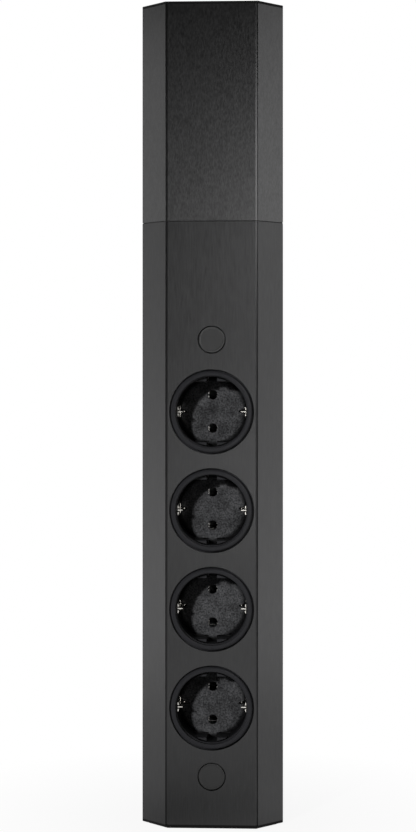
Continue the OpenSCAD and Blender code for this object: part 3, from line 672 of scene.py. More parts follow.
FINISHES = {
    "lower_anodised": lambda c: brushed(c.anodised, 0.1, 0.03, across=1900, along=110),
    "upper_anodised": lambda c: brushed(c.anodised_upper, 0.17, 0.05, across=1500, along=430),
    "inner_aluminium": lambda c: brushed(c.aluminium, 0.08, 0.04),
    # The socket plastic has painted shade: the well's wall darkens from 3.3 mm to 5 mm behind the front, to
    # 0.3 of its colour
    "socket_plastic": lambda c: moulded(c.socket, 0.42, 1100, 0.004, specular=0.1, painted_shade=(3.3, 5, 0.3)),
    # The floor insert has painted shade: its sloped rim darkens from 17 mm to 18 mm behind the front, to 0.25
    # of its colour
    "floor_plastic": lambda c: moulded(c.floor, 0.7, 520, 0.05, specular=0.01, mottle=0.75,
                                       painted_shade=(17, 18, 0.25)),
    "cover_face": lambda c: brushed(c.cover, 0.04, 0.02),
    "end_cap_plastic": lambda c: moulded(c.end_cap, 0.6, depth=0.02, specular=0.08),
    "inner_plastic": lambda c: moulded(c.inner, 0.55, 800),
    "terminal_plastic": lambda c: moulded(c.terminal, 0.4, mottle=0.03),
    "black_rubber": lambda c: rubber(c.rubber),
    "contact_brass": lambda c: bare_metal(c.brass, 0.3),
    "nickel_contact": lambda c: bare_metal(c.nickel, 0.2, mottle=0.06),
    "tinned_contact": lambda c: bare_metal(c.tin, 0.35),
    "screw_steel": lambda c: bare_metal(c.steel, 0.3, mottle=0.08),
}


def finish(name):
    """The named finish, made once, under a name that no CAD material has."""
    label = f"{name} finish"
    made = bpy.data.materials.get(label)
    if made is None:
        made = FINISHES[name](bpy.context.scene.socket_tower.finish)
        made.name = label
    return made


# The tower's outlines


class Outlines:
    """The sections of the profiles from the casing's sizes, as x and depth behind the front."""

    def __init__(self, sizes):
        self.s = sizes
        self.half_front = HALF_W - sizes.side_run
        self.depth = REAR_Y - FRONT_Y
        self.wing_sum = HALF_W + sizes.side_run
        self.rail_front = sizes.wall + sizes.flange_t + sizes.rail_play
        self.rail_back = self.rail_front + sizes.rail_t
        self.flange_half = self.side_x(sizes.wall, sizes.wall) - sizes.rail_side_play
        self.channel_in = sizes.wall + sizes.channel_r - sizes.channel_merge
        self.channel_x = HALF_W - self.channel_in * DIAG
        self.tongue_out = sizes.wall + sizes.tongue_gap
        self.tongue_in = self.tongue_out + sizes.tongue_t

    def side_x(self, d, inset):
        """Where an angled side, moved in, lies at a depth."""
        return self.half_front + d - inset * DIAG

    def wing_x(self, d, inset):
        """Where a rear wing, moved in, lies at a depth."""
        return self.wing_sum - d - inset * DIAG

    def on_wing(self, along, inset, r):
        """A corner along a rear wing from the tower's widest point, moved in."""
        return HALF_W - (along + inset) / DIAG, self.s.side_run + (along - inset) / DIAG, r

    def front(self):
        """The front profile's shell, then its rails and screw channels."""
        s = self.s
        groove_out = self.half_front - s.groove_edge
        outlines = [both_halves([
            (groove_out - s.groove_w, 0, s.groove_r),
            (groove_out, s.groove_depth, s.groove_r),
            (groove_out, 0, s.groove_r),
            (self.half_front, 0, s.front_r),
            (HALF_W, s.side_run, s.corner_r),
            self.on_wing(s.lip_len, 0, s.inner_r),
            self.on_wing(s.lip_len, s.wall, s.inner_r),
            (HALF_W - s.wall * DIAG, s.side_run, s.inner_r),
            (self.side_x(s.wall, s.wall), s.wall, s.inner_r),
        ])]
        rail_x = self.flange_half - s.rail_hold
        turns = [2 * math.pi * step / SMALL_STEPS for step in range(SMALL_STEPS)]
        for side in (-1, 1):
            outlines.append([
                (side * rail_x, self.rail_front, s.inner_r),
                (side * self.side_x(self.rail_front, s.wall / 2), self.rail_front, 0),
                (side * self.side_x(self.rail_back, s.wall / 2), self.rail_back, 0),
                (side * rail_x, self.rail_back, s.inner_r),
            ])
            outlines.append([(side * self.channel_x + s.channel_r * math.cos(turn),
                              s.side_run + s.channel_r * math.sin(turn), 0) for turn in turns])
        return outlines

    def rear(self):
        """The rear cover's shell with its tongues."""
        s = self.s
        start = s.lip_len + s.lip_gap
        root = start + s.tongue_root
        tip = self.channel_in + s.channel_r + s.slide_gap
        wing = [(root, s.rear_wall), (root, self.tongue_in), (tip, self.tongue_in), (tip, self.tongue_out),
                (start, self.tongue_out), (start, 0)]
        inside = self.depth - s.rear_wall
        return [both_halves([
            (self.wing_x(inside, s.rear_wall), inside, s.inner_r),
            *(self.on_wing(along, inset, s.inner_r) for along, inset in wing),
            (self.wing_sum - self.depth, self.depth, s.corner_r),
        ])]

    def outer(self, inset):
        """The tower's outline, moved in all round."""
        s = self.s
        back = self.depth - inset
        return both_halves([
            (self.side_x(inset, inset), inset, s.front_r),
            (HALF_W - inset * DIAG, s.side_run, s.corner_r),
            (self.wing_x(back, inset), back, s.corner_r),
        ])

    def inner(self, inset):
        """The outline that clears rails, channels and tongues inside the profiles."""
        s = self.s
        front = self.rail_back + s.slide_gap + inset
        side = s.wall + s.slide_gap + inset
        wing = self.tongue_in + s.slide_gap + inset
        apex = self.depth - s.rear_wall - s.slide_gap - inset
        x = self.channel_x - s.channel_r - s.slide_gap - inset
        return both_halves([
            (self.side_x(front, side), front, s.corner_r),
            (x, x - self.half_front + side * DIAG, s.corner_r),
            (x, self.wing_sum - wing * DIAG - x, s.corner_r),
            (self.wing_x(apex, wing), apex, s.corner_r),
        ])


def plan(outline, arc_steps):
    """An outline's rounded points as x and y."""
    return [(point[0], FRONT_Y + point[1]) for point in soften(outline, arc_steps)]


def hole_cutter(x, z, radius, start, end, edge=0, steps=SMALL_STEPS):
    """A spindle along the depth that flares by the edge's width at its front face."""
    corners = [(0, start - OVER, 0), (radius + edge + OVER, start - OVER, 0), (radius, start + edge, 0),
               (radius, end + OVER, 0), (0, end + OVER, 0)]
    cutter = turned("cutter", corners, steps, 1, centre=(x, z))
    cutter.data.transform(BEHIND_FRONT)
    return cutter


def channel_cutter(x, y, radius, low, high):
    """A round bar along the height."""
    corners = [(0, low - OVER, 0), (radius, low - OVER, 0), (radius, high + OVER, 0), (0, high + OVER, 0)]
    return turned("cutter", corners, 24, 1, centre=(x, FRONT_Y + y), along="Z")


def profile(name, outlines, cutters, span, finish_name, props):
    """One length of extruded profile from its closed outlines."""
    curve = bpy.data.curves.new("section", "CURVE")
    curve.dimensions = "2D"
    curve.fill_mode = "NONE"
    for outline in outlines:
        points = plan(outline, props.arc_steps)
        spline = curve.splines.new("POLY")
        spline.points.add(len(points) - 1)
        for target, (x, y) in zip(spline.points, points):
            target.co = (x, y, 0, 1)
        spline.use_cyclic_u = True
    section, tools = new_object("section", curve), joined("cutters", cutters)
    tree = bpy.data.node_groups.get("extruded profile") or profile_tree()
    made = run_tree(name, tree, {
        "Section": section, "Cutters": tools, "Foot": span[0], "Top": span[1],
        "Material": finish(finish_name)}, [section, tools])
    soften_ends(made, span, props.casing.end_edge)
    return smooth(made)


# The pieces


class TowerOperator:
    """What the operators share."""

    bl_options = {"REGISTER", "UNDO"}

    @staticmethod
    def sizes(context):
        """The tower's sizes, and the outlines that follow from them."""
        props = context.scene.socket_tower
        return props, Outlines(props.casing)


class TOWER_OT_casings(TowerOperator, bpy.types.Operator):
    """Sweeps the brushed front profiles, the rear covers and the telescopic guide"""

    bl_idname = "tower.casings"
    bl_label = "Casings and guide"

    def execute(self, context):
        props, lines = self.sizes(context)
        casing = props.casing
        front_holes, rear_holes = self.holes(props, lines)
        for section, span, body in (("lower", LOWER_Z, "lower_casing"), ("upper", UPPER_Z, "upper_sleeve")):
            look = f"{section}_anodised"
            channels = [channel_cutter(side * lines.channel_x, casing.side_run, casing.channel_hole_r, *span)
                        for side in (-1, 1)]
            for part, node, outlines, cutters in (
                    ("front_profile", "front_shell", lines.front(), channels + front_holes),
                    ("rear_profile", "rear_cover", lines.rear(), rear_holes)):
                made = profile(f"{section}_{part}", outlines, cutters, span, look, props)
                hand_over(made, body, "black_anodised", look, f"{section}_{node}")
            # The upper section has no holes
            front_holes = rear_holes = []
        bore = prism("bore", plan(lines.inner(casing.guide_t), props.arc_steps),
                     GUIDE_Z[0] - OVER, GUIDE_Z[1] + OVER)
        back = lines.depth - casing.rear_wall - casing.slide_gap
        holes = [hole_cutter(x, z, casing.guide_hole_r, back - casing.guide_t, back)
                 for x, z in islands("guide_screws")]
        guide = profile("guide_tube", [lines.inner(0)], [bore, *holes], GUIDE_Z, "inner_aluminium", props)
        hand_over(guide, "lower_casing", "inner_aluminium", "inner_aluminium", "guide_profile")
        self.shadow_strip(lines, props)
        return {"FINISHED"}

    @staticmethod
    def holes(props, lines):
        """The cutters of the lower section's front and of its rear."""
        socket, cover, casing = props.socket, props.cover, props.casing
        front = [(z, socket.ring_r + socket.ring_gap) for z in SOCKET_HEIGHTS]
        front += [(z, cover.cover_r + cover.hole_gap) for z in COVER_HEIGHTS]
        rear = [(0, z, casing.screw_hole_r) for z in COVER_HEIGHTS]
        rear += [(x, z, casing.guide_pilot_r) for x, z in islands("guide_screws")]
        return ([hole_cutter(0, z, radius, 0, casing.wall, casing.hole_edge, props.turn_steps)
                 for z, radius in front],
                [hole_cutter(x, z, radius, lines.depth - casing.rear_wall, lines.depth)
                 for x, z, radius in rear])

    @staticmethod
    def shadow_strip(lines, props):
        """A thin black strip of painted shade that lies on the lower section, round the guide, and darkens
        the seam.
        """
        casing, steps = props.casing, props.arc_steps
        low, high = LOWER_Z[1], UPPER_Z[0] - casing.shadow_strip_play
        shadow_strip = prism("seam_seal", plan(lines.outer(casing.shadow_strip_inset), steps), low, high)
        hole = prism("hole", plan(lines.inner(0), steps), low - OVER, high + OVER)
        combine(shadow_strip, [hole], "DIFFERENCE")
        hand_over(smooth(shadow_strip), "lower_casing", "end_cap_plastic", "end_cap_plastic")


class TOWER_OT_socket_collars(TowerOperator, bpy.types.Operator):
    """Turns the socket collars with their rings, wells, guide ledges and flanges"""

    bl_idname = "tower.socket_collars"
    bl_label = "Socket collars"

    tube_edge = 0.3 * MM
    step_edge = 0.1 * MM
    flange_edge = 0.2 * MM

    def execute(self, context):
        props, lines = self.sizes(context)
        s, wall, flange_t = props.socket, props.casing.wall, props.casing.flange_t
        tube_r = s.well_r + s.tube_wall
        back = s.floor_d + s.floor_t
        collar = turned("collar", [
            (s.mouth_r, -s.ring_proud, s.mouth_edge_r),
            (s.ring_r, -s.ring_proud, s.ring_edge_r),
            (s.ring_r, wall, 0),
            (tube_r, wall, 0),
            (tube_r, back, self.tube_edge),
            (s.well_r, back, self.tube_edge),
            (s.well_r, s.mouth_d, self.step_edge),
            (s.mouth_r, s.mouth_d, self.step_edge),
        ], props.turn_steps, props.arc_steps, start=FRONT_Y)
        low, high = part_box("socket_1_collar")
        half_x, half_z = lines.flange_half, (high.z - low.z) / 2
        flange = soft_box("flange", (-half_x, FRONT_Y + wall, -half_z),
                          (half_x, FRONT_Y + wall + flange_t, half_z), self.flange_edge)
        opening = hole_cutter(0, 0, (s.well_r + tube_r) / 2, wall, wall + flange_t, 0, props.turn_steps)
        combine(flange, [opening], "DIFFERENCE")
        bosses = self.screw_bosses(s, wall + flange_t / 2, back)
        combine(collar, [flange, *self.ledges(props, tube_r), *bosses], "UNION")
        socket_row("socket_collars", collar, "socket_plastic", "socket_plastic", "collar")
        return {"FINISHED"}

    @staticmethod
    def screw_bosses(s, start, back):
        """The two hollow bosses that the block behind is screwed to."""
        bosses = []
        pilot_end = start + s.boss_r
        corners = [(0, start, 0), (s.boss_r, start, 0), (s.boss_r, back, 0), (s.boss_pilot_r, back, 0),
                   (s.boss_pilot_r, pilot_end, 0), (0, pilot_end, 0)]
        for x, z in islands("socket_screws"):
            if abs(z - SOCKET_HEIGHTS[0]) <= s.ring_r * DIAG:
                bosses.append(turned("boss", corners, SMALL_STEPS, 1, centre=(x, z - SOCKET_HEIGHTS[0])))
                bosses[-1].data.transform(BEHIND_FRONT)
        return bosses

    @staticmethod
    def ledges(props, tube_r):
        """Two pairs of chord-shaped ledges, above and below the well's axis, let into the wall."""
        let_in = 0.1 * MM
        s = props.socket
        reach = s.well_r - s.ledge_h
        outer = (s.well_r + tube_r) / 2
        near, far = s.ledge_gap / 2, math.sqrt(s.well_r**2 - reach**2) + let_in
        start = FRONT_Y + s.ledge_d
        clear_r = s.well_r - s.ledge_clear
        blocks = []
        for up in (-1, 1):
            for side in (-1, 1):
                corners = [
                    (side * near, up * reach, s.ledge_r),
                    (side * far, up * reach, 0),
                    (side * far, up * math.sqrt(outer**2 - far**2), 0),
                    (side * near, up * math.sqrt(outer**2 - near**2), 0),
                ]
                block = prism("ledge", soften(corners, props.arc_steps), start, FRONT_Y + s.floor_d, "Y")
                bevel_edges(block, lambda edge: all(vert.co.y < start + NEAR for vert in edge.verts),
                            s.ledge_r, 3)
                clear = turned("clearance", [
                    (clear_r, -OVER, 0), (tube_r, -OVER, 0), (tube_r, s.ledge_free, 0),
                    (clear_r, s.ledge_free, 0),
                ], props.turn_steps, 1, start=start)
                blocks.append(combine(block, [clear], "DIFFERENCE"))
        return blocks


class TOWER_OT_socket_floors(TowerOperator, bpy.types.Operator):
    """Makes the round floor inserts with their pin holes and clip slots"""

    bl_idname = "tower.socket_floors"
    bl_label = "Socket floors"

    disc_edge = 0.2 * MM
    pin_hole_steps = 48

    def execute(self, context):
        props = context.scene.socket_tower
        s, earth = props.socket, props.earth
        back = s.floor_d + s.floor_t
        radius = s.well_r - s.floor_gap
        disc = turned("floor", [
            (0, s.floor_d, 0),
            (radius - s.rim_w, s.floor_d, s.rim_w),
            (radius, s.floor_d + s.rim_drop, self.disc_edge),
            (radius, back, self.disc_edge),
            (0, back, 0),
        ], props.turn_steps, props.arc_steps, start=FRONT_Y)
        cutters = [hole_cutter(0, side * s.pin_spacing / 2, s.pin_hole_r, s.floor_d, back, s.pin_edge,
                               self.pin_hole_steps) for side in (-1, 1)]
        rim = s.well_r + OVER
        front = FRONT_Y + s.floor_d - OVER
        slots = []
        for side in (-1, 1):
            slots.append(self.clip_slot(s, earth, side, earth.slot_fit, earth.slot_fit))
            pocket = self.clip_slot(s, earth, side, earth.slot_play, earth.slot_reach)
            cutters.append(prism("pocket", pocket, front, FRONT_Y + s.floor_d + earth.pocket_depth, "Y"))
            near = side * (s.ledge_gap / 2 - s.ledge_slot)
            far = side * (math.sqrt(s.well_r**2 - (s.well_r - s.ledge_h) ** 2) + s.ledge_slot)
            for up in (-1, 1):
                reach = up * (s.well_r - s.ledge_h - s.ledge_slot)
                slots.append([(near, reach), (far, reach), (far, up * rim), (near, up * rim)])
        cutters += [prism("slot", slot, front, FRONT_Y + back + OVER, "Y") for slot in slots]
        combine(disc, cutters, "DIFFERENCE")
        socket_row("socket_floors", disc, "floor_plastic", "socket_plastic", "floor")
        return {"FINISHED"}

    @staticmethod
    def clip_slot(s, earth, side, play, reach):
        """The outline round a clip and its pointed bead, out to the insert's rim."""
        out = s.well_r - earth.clip_gap
        near = out - earth.clip_t - play
        half, foot = earth.clip_half + play, earth.bead_foot + reach
        shoulder = max(foot, earth.bead_foot + earth.bead_notch)
        upper = [(s.well_r + OVER, half), (out - earth.side_t - play, half), (near, shoulder), (near, foot),
                 (near - earth.bead_rise - reach, earth.bead_peak + play / 2)]
        return [(side * x, z) for x, z in upper] + [(side * x, -z) for x, z in reversed(upper)]


class TOWER_OT_earth_bows(TowerOperator, bpy.types.Operator):
    """Bends the sprung earth bows with their beaded clips"""

    bl_idname = "tower.earth_bows"
    bl_label = "Earth bows"

    strip_edge = 0.1 * MM
    clip_edge = 0.12 * MM
    bead_bend = 0.3 * MM
    bend_steps = 3

    def execute(self, context):
        props = context.scene.socket_tower
        s, earth = props.socket, props.earth
        back = FRONT_Y + s.floor_d + s.floor_t
        out = s.well_r - earth.clip_gap
        bow = soft_box("strip", (-out, back, -earth.strip_half),
                       (out, back + earth.strip_t, earth.strip_half), self.strip_edge)
        tab_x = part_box("live_bar")[1].x
        tab_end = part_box("socket_1_earth_bow")[1].y
        parts = [soft_box("tab", (tab_x, back, -earth.tab_half),
                          (tab_x + earth.strip_t, tab_end, earth.tab_half), self.strip_edge)]
        parts += [self.clip(earth, side, out, back + earth.strip_t) for side in (-1, 1)]
        combine(bow, parts, "UNION")
        socket_row("earth_bows", bow, "nickel_contact", "nickel_contact", "earth_bow", METAL_CREASE)
        return {"FINISHED"}

    def clip(self, earth, side, out, back):
        """A clip with its pinched bead, notched beside the bead and cut slanted at its free corners."""
        inner = out - earth.clip_t
        peak = inner - earth.bead_rise
        foot, half, top, cut = earth.bead_foot, earth.clip_half, earth.bead_peak, earth.tip_cut
        shoulder = foot + earth.bead_notch
        upper = [(out, half, 0), (out - earth.side_t, half, 0), (inner, shoulder, self.clip_edge),
                 (inner, foot, self.bead_bend), (peak, top, top)]
        corners = upper + [(x, -z, r) for x, z, r in reversed(upper)]
        front = FRONT_Y + earth.clip_d
        outline = soften([(side * x, z, r) for x, z, r in corners], self.bend_steps)
        clip = prism("clip", outline, front, back, "Y")
        start, notch_end = front - OVER, front + earth.notch_depth
        cutters = []
        for up in (-1, 1):
            slant = [(start, up * (half - cut - OVER)), (front + cut + OVER, up * (half + OVER)),
                     (start, up * (half + OVER))]
            notch = [(start, up * foot), (notch_end, up * foot), (notch_end, up * shoulder),
                     (start, up * shoulder)]
            cutters += [prism("cutter", cut_out, side * peak, side * (out + OVER), "X")
                        for cut_out in (slant, notch)]
        return combine(clip, cutters, "DIFFERENCE")


class TOWER_OT_pin_contacts(TowerOperator, bpy.types.Operator):
    """Bends the split spring leaves that grip a plug's pins, with their tails to the bars"""

    bl_idname = "tower.pin_contacts"
    bl_label = "Pin contacts"

    def execute(self, context):
        props = context.scene.socket_tower
        s, pin = props.socket, props.pin
        tips = FRONT_Y + s.floor_d + s.floor_t + pin.leaf_play
        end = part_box("socket_1_contacts")[1].y
        bar_low, bar_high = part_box("live_bar")
        root = bar_low.y - pin.leaf_t
        in_face = pin.leaf_gap / 2
        out_face = in_face + pin.leaf_t
        strip_in = pin.leaf_half + pin.back_gap
        parts = []
        for up in (-1, 1):
            z = up * s.pin_spacing / 2
            strip_z, strip_end = z + up * strip_in, z + up * (strip_in + pin.leaf_t)
            for side in (-1, 1):
                finger = self.finger(pin, side, tips, root + pin.leaf_t / 2)
                for low, high in ((-pin.leaf_half, -pin.leaf_slit / 2), (pin.leaf_slit / 2, pin.leaf_half)):
                    parts.append(prism("finger", finger, z + low, z + high))
                parts.append(soft_box("leaf", (side * (out_face - pin.overlap), root, z - up * pin.leaf_half),
                                      (side * (out_face + pin.leaf_t), end, strip_end)))
            parts.append(soft_box("back strip", (-out_face, root + OVER, strip_z),
                                  (out_face, end - pin.leaf_t / 2, strip_end)))
            parts.append(soft_box("tail", (up * in_face, bar_low.y, z - pin.tail_t / 2),
                                  (-up * bar_high.x, bar_high.y, z + pin.tail_t / 2)))
        contact = combine(parts[0], parts[1:], "UNION")
        socket_row("pin_contacts", contact, "tinned_contact", "contact_brass", "contacts", METAL_CREASE)
        return {"FINISHED"}

    @staticmethod
    def finger(pin, side, tips, root):
        """The section of a finger: a rounded nose that stands in, and its straight spring part."""
        inner = pin.leaf_gap / 2
        outer = inner + pin.leaf_t
        nose = inner - pin.nose
        tip_r = (outer - nose) / 2
        corners = [
            (nose, tips, tip_r), (outer, tips, tip_r), (outer, root, 0), (inner, root, 0),
            (inner, tips + pin.nose_len * 2, pin.nose_len), (nose, tips + pin.nose_len, pin.nose_len / 3),
        ]
        return soften([(side * x, y, r) for x, y, r in corners], 4)


class TOWER_OT_screw_covers(TowerOperator, bpy.types.Operator):
    """Turns the two push-in covers with their split stems"""

    bl_idname = "tower.screw_covers"
    bl_label = "Screw covers"

    dish, dish_in, dish_r = 0.06 * MM, 0.9 * MM, 1 * MM
    rim_in, rim_r = 0.5 * MM, 0.4 * MM
    seat_edge, neck_edge = 0.15 * MM, 0.1 * MM
    bead, bead_start, bead_start_r = 0.12 * MM, 2.4 * MM, 0.5 * MM
    bead_crest, bead_crest_r = 1.6 * MM, 0.4 * MM
    point_cut, point_r = 0.6 * MM, 0.3 * MM

    def execute(self, context):
        props = context.scene.socket_tower
        c = props.cover
        for place, height, lift in zip(("lower", "upper"), COVER_HEIGHTS, (c.lower_lift, c.upper_lift)):
            node = f"screw_cap_{place}"
            face, end = (corner.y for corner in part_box(node))
            cover = self.cover(props, face, end, height, height + lift)
            cover.name = f"{place}_screw_cover"
            hand_over(smooth(cover), f"cap_{place}", "cap_plastic", "cover_face", node)
        return {"FINISHED"}

    def cover(self, props, face, end, slot_z, height):
        """A cover from its dished face back to the end of its stem."""
        c = props.cover
        seat = end - c.stem_len
        edge = min(c.edge_r * 2, (seat - face) / 3)
        rim, neck_r = c.cover_r - edge, c.stem_r - self.bead
        body = turned("cover", [
            (0, face + self.dish, 0),
            (rim - self.dish_in, face + self.dish, self.dish_r),
            (rim - self.rim_in, face, self.rim_r),
            (c.cover_r, face, edge),
            (c.cover_r, seat, self.seat_edge),
            (neck_r, seat, self.neck_edge),
            (neck_r, end - self.bead_start, self.bead_start_r),
            (c.stem_r, end - self.bead_crest, self.bead_crest_r),
            (c.stem_r - self.point_cut, end, self.point_r),
            (0, end, 0),
        ], props.turn_steps, props.arc_steps, centre=(0, height))
        half, reach = c.stem_slot / 2, c.stem_r + OVER
        slot = soft_box("slot", (-reach, seat, slot_z - half), (reach, end + OVER, slot_z + half))
        return combine(body, [slot], "DIFFERENCE")


class TOWER_OT_end_caps(TowerOperator, bpy.types.Operator):
    """Moulds the end caps with their plug rims, screw seats and the grommet's seat"""

    bl_idname = "tower.end_caps"
    bl_label = "End caps"

    rim_t = 1.5 * MM
    plate_t = 1.5 * MM
    plate_edge = 0.35 * MM
    screw_seat_r = 2.8 * MM
    screw_hole_r = 1.35 * MM
    boss_r, boss_h, boss_edge = 11.5 * MM, 3.5 * MM, 0.4 * MM
    neck_r, flange_r, flange_t = 7 * MM, 9.1 * MM, 1.2 * MM
    lead_in, lead_top = 0.2 * MM, 0.3 * MM
    boss_steps, grommet_steps, screw_steps = 64, 96, 48

    def execute(self, context):
        props, lines = self.sizes(context)
        for place, body in (("bottom", "lower_casing"), ("top", "upper_sleeve")):
            cap = self.cap(props, lines, place)
            cap.name = f"{place}_cap"
            hand_over(smooth(cap), body, "end_cap_plastic", "end_cap_plastic", f"{place}_end_cap")
        return {"FINISHED"}

    def cap(self, props, lines, place):
        """A plate with its plug rim, upwards at the foot and downwards at the top."""
        low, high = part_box(f"{place}_end_cap")
        outer, inner, up = (low.z, high.z, 1) if place == "bottom" else (high.z, low.z, -1)
        steps = props.arc_steps
        plate_end = outer + up * self.plate_t
        plate = prism("plate", plan(lines.outer(0), steps), outer, plate_end)
        soften_ends(plate, [outer], self.plate_edge)
        rim = prism("rim", plan(lines.inner(0), steps), outer + up * OVER, inner)
        bore = prism("bore", plan(lines.inner(self.rim_t), steps), plate_end, inner + up * OVER)
        combine(rim, [bore], "DIFFERENCE")
        cutters = [self.countersink(side * lines.channel_x, props.casing.side_run, outer, up)
                   for side in (-1, 1)]
        if place == "top":
            seat, hole = self.grommet_seat(high.z, plate_end)
            combine(rim, [seat], "UNION")
            cutters.append(hole)
        combine(plate, [rim], "UNION")
        return combine(plate, cutters, "DIFFERENCE")

    def grommet_seat(self, top, plate_end):
        """The boss under the top cap that holds the grommet, and the stepped hole through it."""
        centre = (0, middle("cable_grommet").y)
        foot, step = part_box("cable_grommet")[0].z - OVER, top - self.flange_t
        seat = turned("seat", [
            (0, top - self.boss_h, 0), (self.boss_r, top - self.boss_h, self.boss_edge),
            (self.boss_r, plate_end, 0), (0, plate_end, 0),
        ], self.boss_steps, 3, centre, "Z")
        lead_end = top + self.lead_top
        hole = turned("hole", [
            (0, foot, 0), (self.neck_r, foot, 0), (self.neck_r, step, 0), (self.flange_r, step, 0),
            (self.flange_r, top - self.lead_in, 0),
            (self.flange_r + self.lead_in + self.lead_top, lead_end, 0), (0, lead_end, 0),
        ], self.grommet_steps, 1, centre, "Z")
        return seat, hole

    def countersink(self, x, d, outer, up):
        """A hole with a conical seat that opens outwards."""
        over = OVER / 2
        flare = (self.screw_seat_r - self.screw_hole_r) / self.plate_t * over
        start, seat_end, end = outer - up * over, outer + up * self.plate_t, outer + up * 2 * self.plate_t
        corners = [(0, start, 0), (self.screw_seat_r + flare, start, 0), (self.screw_hole_r, seat_end, 0),
                   (self.screw_hole_r, end, 0), (0, end, 0)]
        return turned("seat", corners, self.screw_steps, 1, (x, FRONT_Y + d), "Z")


def cross_recess(depth, reach, width):
    """Two tapered bars that cut a cross into a head whose face looks down from height zero."""
    over, taper = 0.2 * MM, 0.45
    bars = []
    for turn in (0, math.pi / 2):
        bm = bmesh.new()
        rings = [[bm.verts.new((a * reach * scale, b * width * (0.5 + scale / 2), level))
                  for a, b in ((-1, -1), (1, -1), (1, 1), (-1, 1))]
                 for level, scale in ((-over, 1), (depth, taper))]
        enclose(bm, *rings)
        bmesh.ops.rotate(bm, verts=bm.verts, matrix=Matrix.Rotation(turn, 3, "Z"))
        bars.append(from_bmesh("recess", bm))
    return bars


def screw(head, shank_r, tip, recess):
    """A screw with its head down at height zero and its threaded shank upwards."""
    pitch, thread_depth, thread_start = 0.6 * MM, 0.35, 0.1 * MM
    core_r = shank_r - pitch * thread_depth
    corners = list(head)
    level = head[-1][1] + thread_start
    while level + pitch < tip - shank_r:
        corners += [(core_r, level, 0), (shank_r, level + pitch / 2, 0)]
        level += pitch
    corners += [(core_r, level, 0), (core_r, tip - shank_r / 2, 0), (0, tip, 0)]
    body = turned("screw", corners, SCREW_STEPS, 2, along="Z")
    return combine(body, cross_recess(*recess), "DIFFERENCE")


class TOWER_OT_screws(TowerOperator, bpy.types.Operator):
    """Sets the cross-head screws of the end caps, sockets, guide, terminals and clamp"""

    bl_idname = "tower.screws"
    bl_label = "Screws"

    recess_w = 0.3 * MM
    flat_r, flat_rim_r, flat_rim_h, flat_h, flat_edge = 2.7 * MM, 2.6 * MM, 0.15 * MM, 1.5 * MM, 0.1 * MM
    flat_shank_r, flat_len, flat_recess = 1.25 * MM, 10 * MM, (0.9 * MM, 1.5 * MM)
    # Shares of a pan head's radius and height
    pan_flat, pan_side, pan_round, pan_recess_r, pan_recess_d = 0.6, 0.5, 0.4, 0.55, 0.6
    pan_edge = 0.1 * MM
    # Head's radius and height, shank's radius in mm, and which way the head looks
    pan_heads = {
        "guide_screws": (2.8, 1.6, 1.25, "front"),
        "socket_screws": (2.6, 1.8, 1.2, "back"),
        "terminal_screws": (2.2, 1.4, 1.5, "back"),
        "clamp_screws": (2.4, 1.6, 1.2, "back"),
    }

    def execute(self, context):
        props, lines = self.sizes(context)
        for place, body, turn in (("bottom", "lower_casing", 0), ("top", "upper_sleeve", math.pi)):
            node = f"{place}_cap_screws"
            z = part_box(node)[0 if place == "bottom" else 1].z
            places = [(side * lines.channel_x, FRONT_Y + props.casing.side_run, z) for side in (-1, 1)]
            self.set_screws(f"{place}_countersunk_screws", self.countersunk(), places, turn, body, node)
        for node, (head_r, head_h, shank_r, looks) in self.pan_heads.items():
            low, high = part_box(node)
            face, turn = (high.y, math.pi / 2) if looks == "back" else (low.y, -math.pi / 2)
            piece = self.pan_head(head_r * MM, head_h * MM, shank_r * MM, high.y - low.y)
            places = [(x, face, z) for x, z in islands(node)]
            self.set_screws(f"{node}_pan_head", piece, places, turn, "lower_casing", node)
        return {"FINISHED"}

    @staticmethod
    def set_screws(name, piece, places, turn, body, node):
        """Sets copies of one screw, turned about the X axis, on a body."""
        made = on_places(name, piece, places, "screw_steel", (turn, 0, 0))
        hand_over(smooth(made, METAL_CREASE), body, "screw_steel", "screw_steel", node)

    def countersunk(self):
        """A countersunk screw."""
        head = [(0, 0, 0), (self.flat_r, 0, self.flat_edge), (self.flat_rim_r, self.flat_rim_h, 0),
                (self.flat_shank_r, self.flat_h, 0)]
        return screw(head, self.flat_shank_r, self.flat_len, (*self.flat_recess, self.recess_w))

    def pan_head(self, head_r, head_h, shank_r, total):
        """A pan-head screw of a total length."""
        head = [(0, 0, 0), (head_r * self.pan_flat, 0, head_r),
                (head_r, head_h * self.pan_side, head_h * self.pan_round),
                (head_r, head_h, self.pan_edge), (shank_r, head_h, 0)]
        recess = head_h * self.pan_recess_d, head_r * self.pan_recess_r, self.recess_w
        return screw(head, shank_r, total, recess)


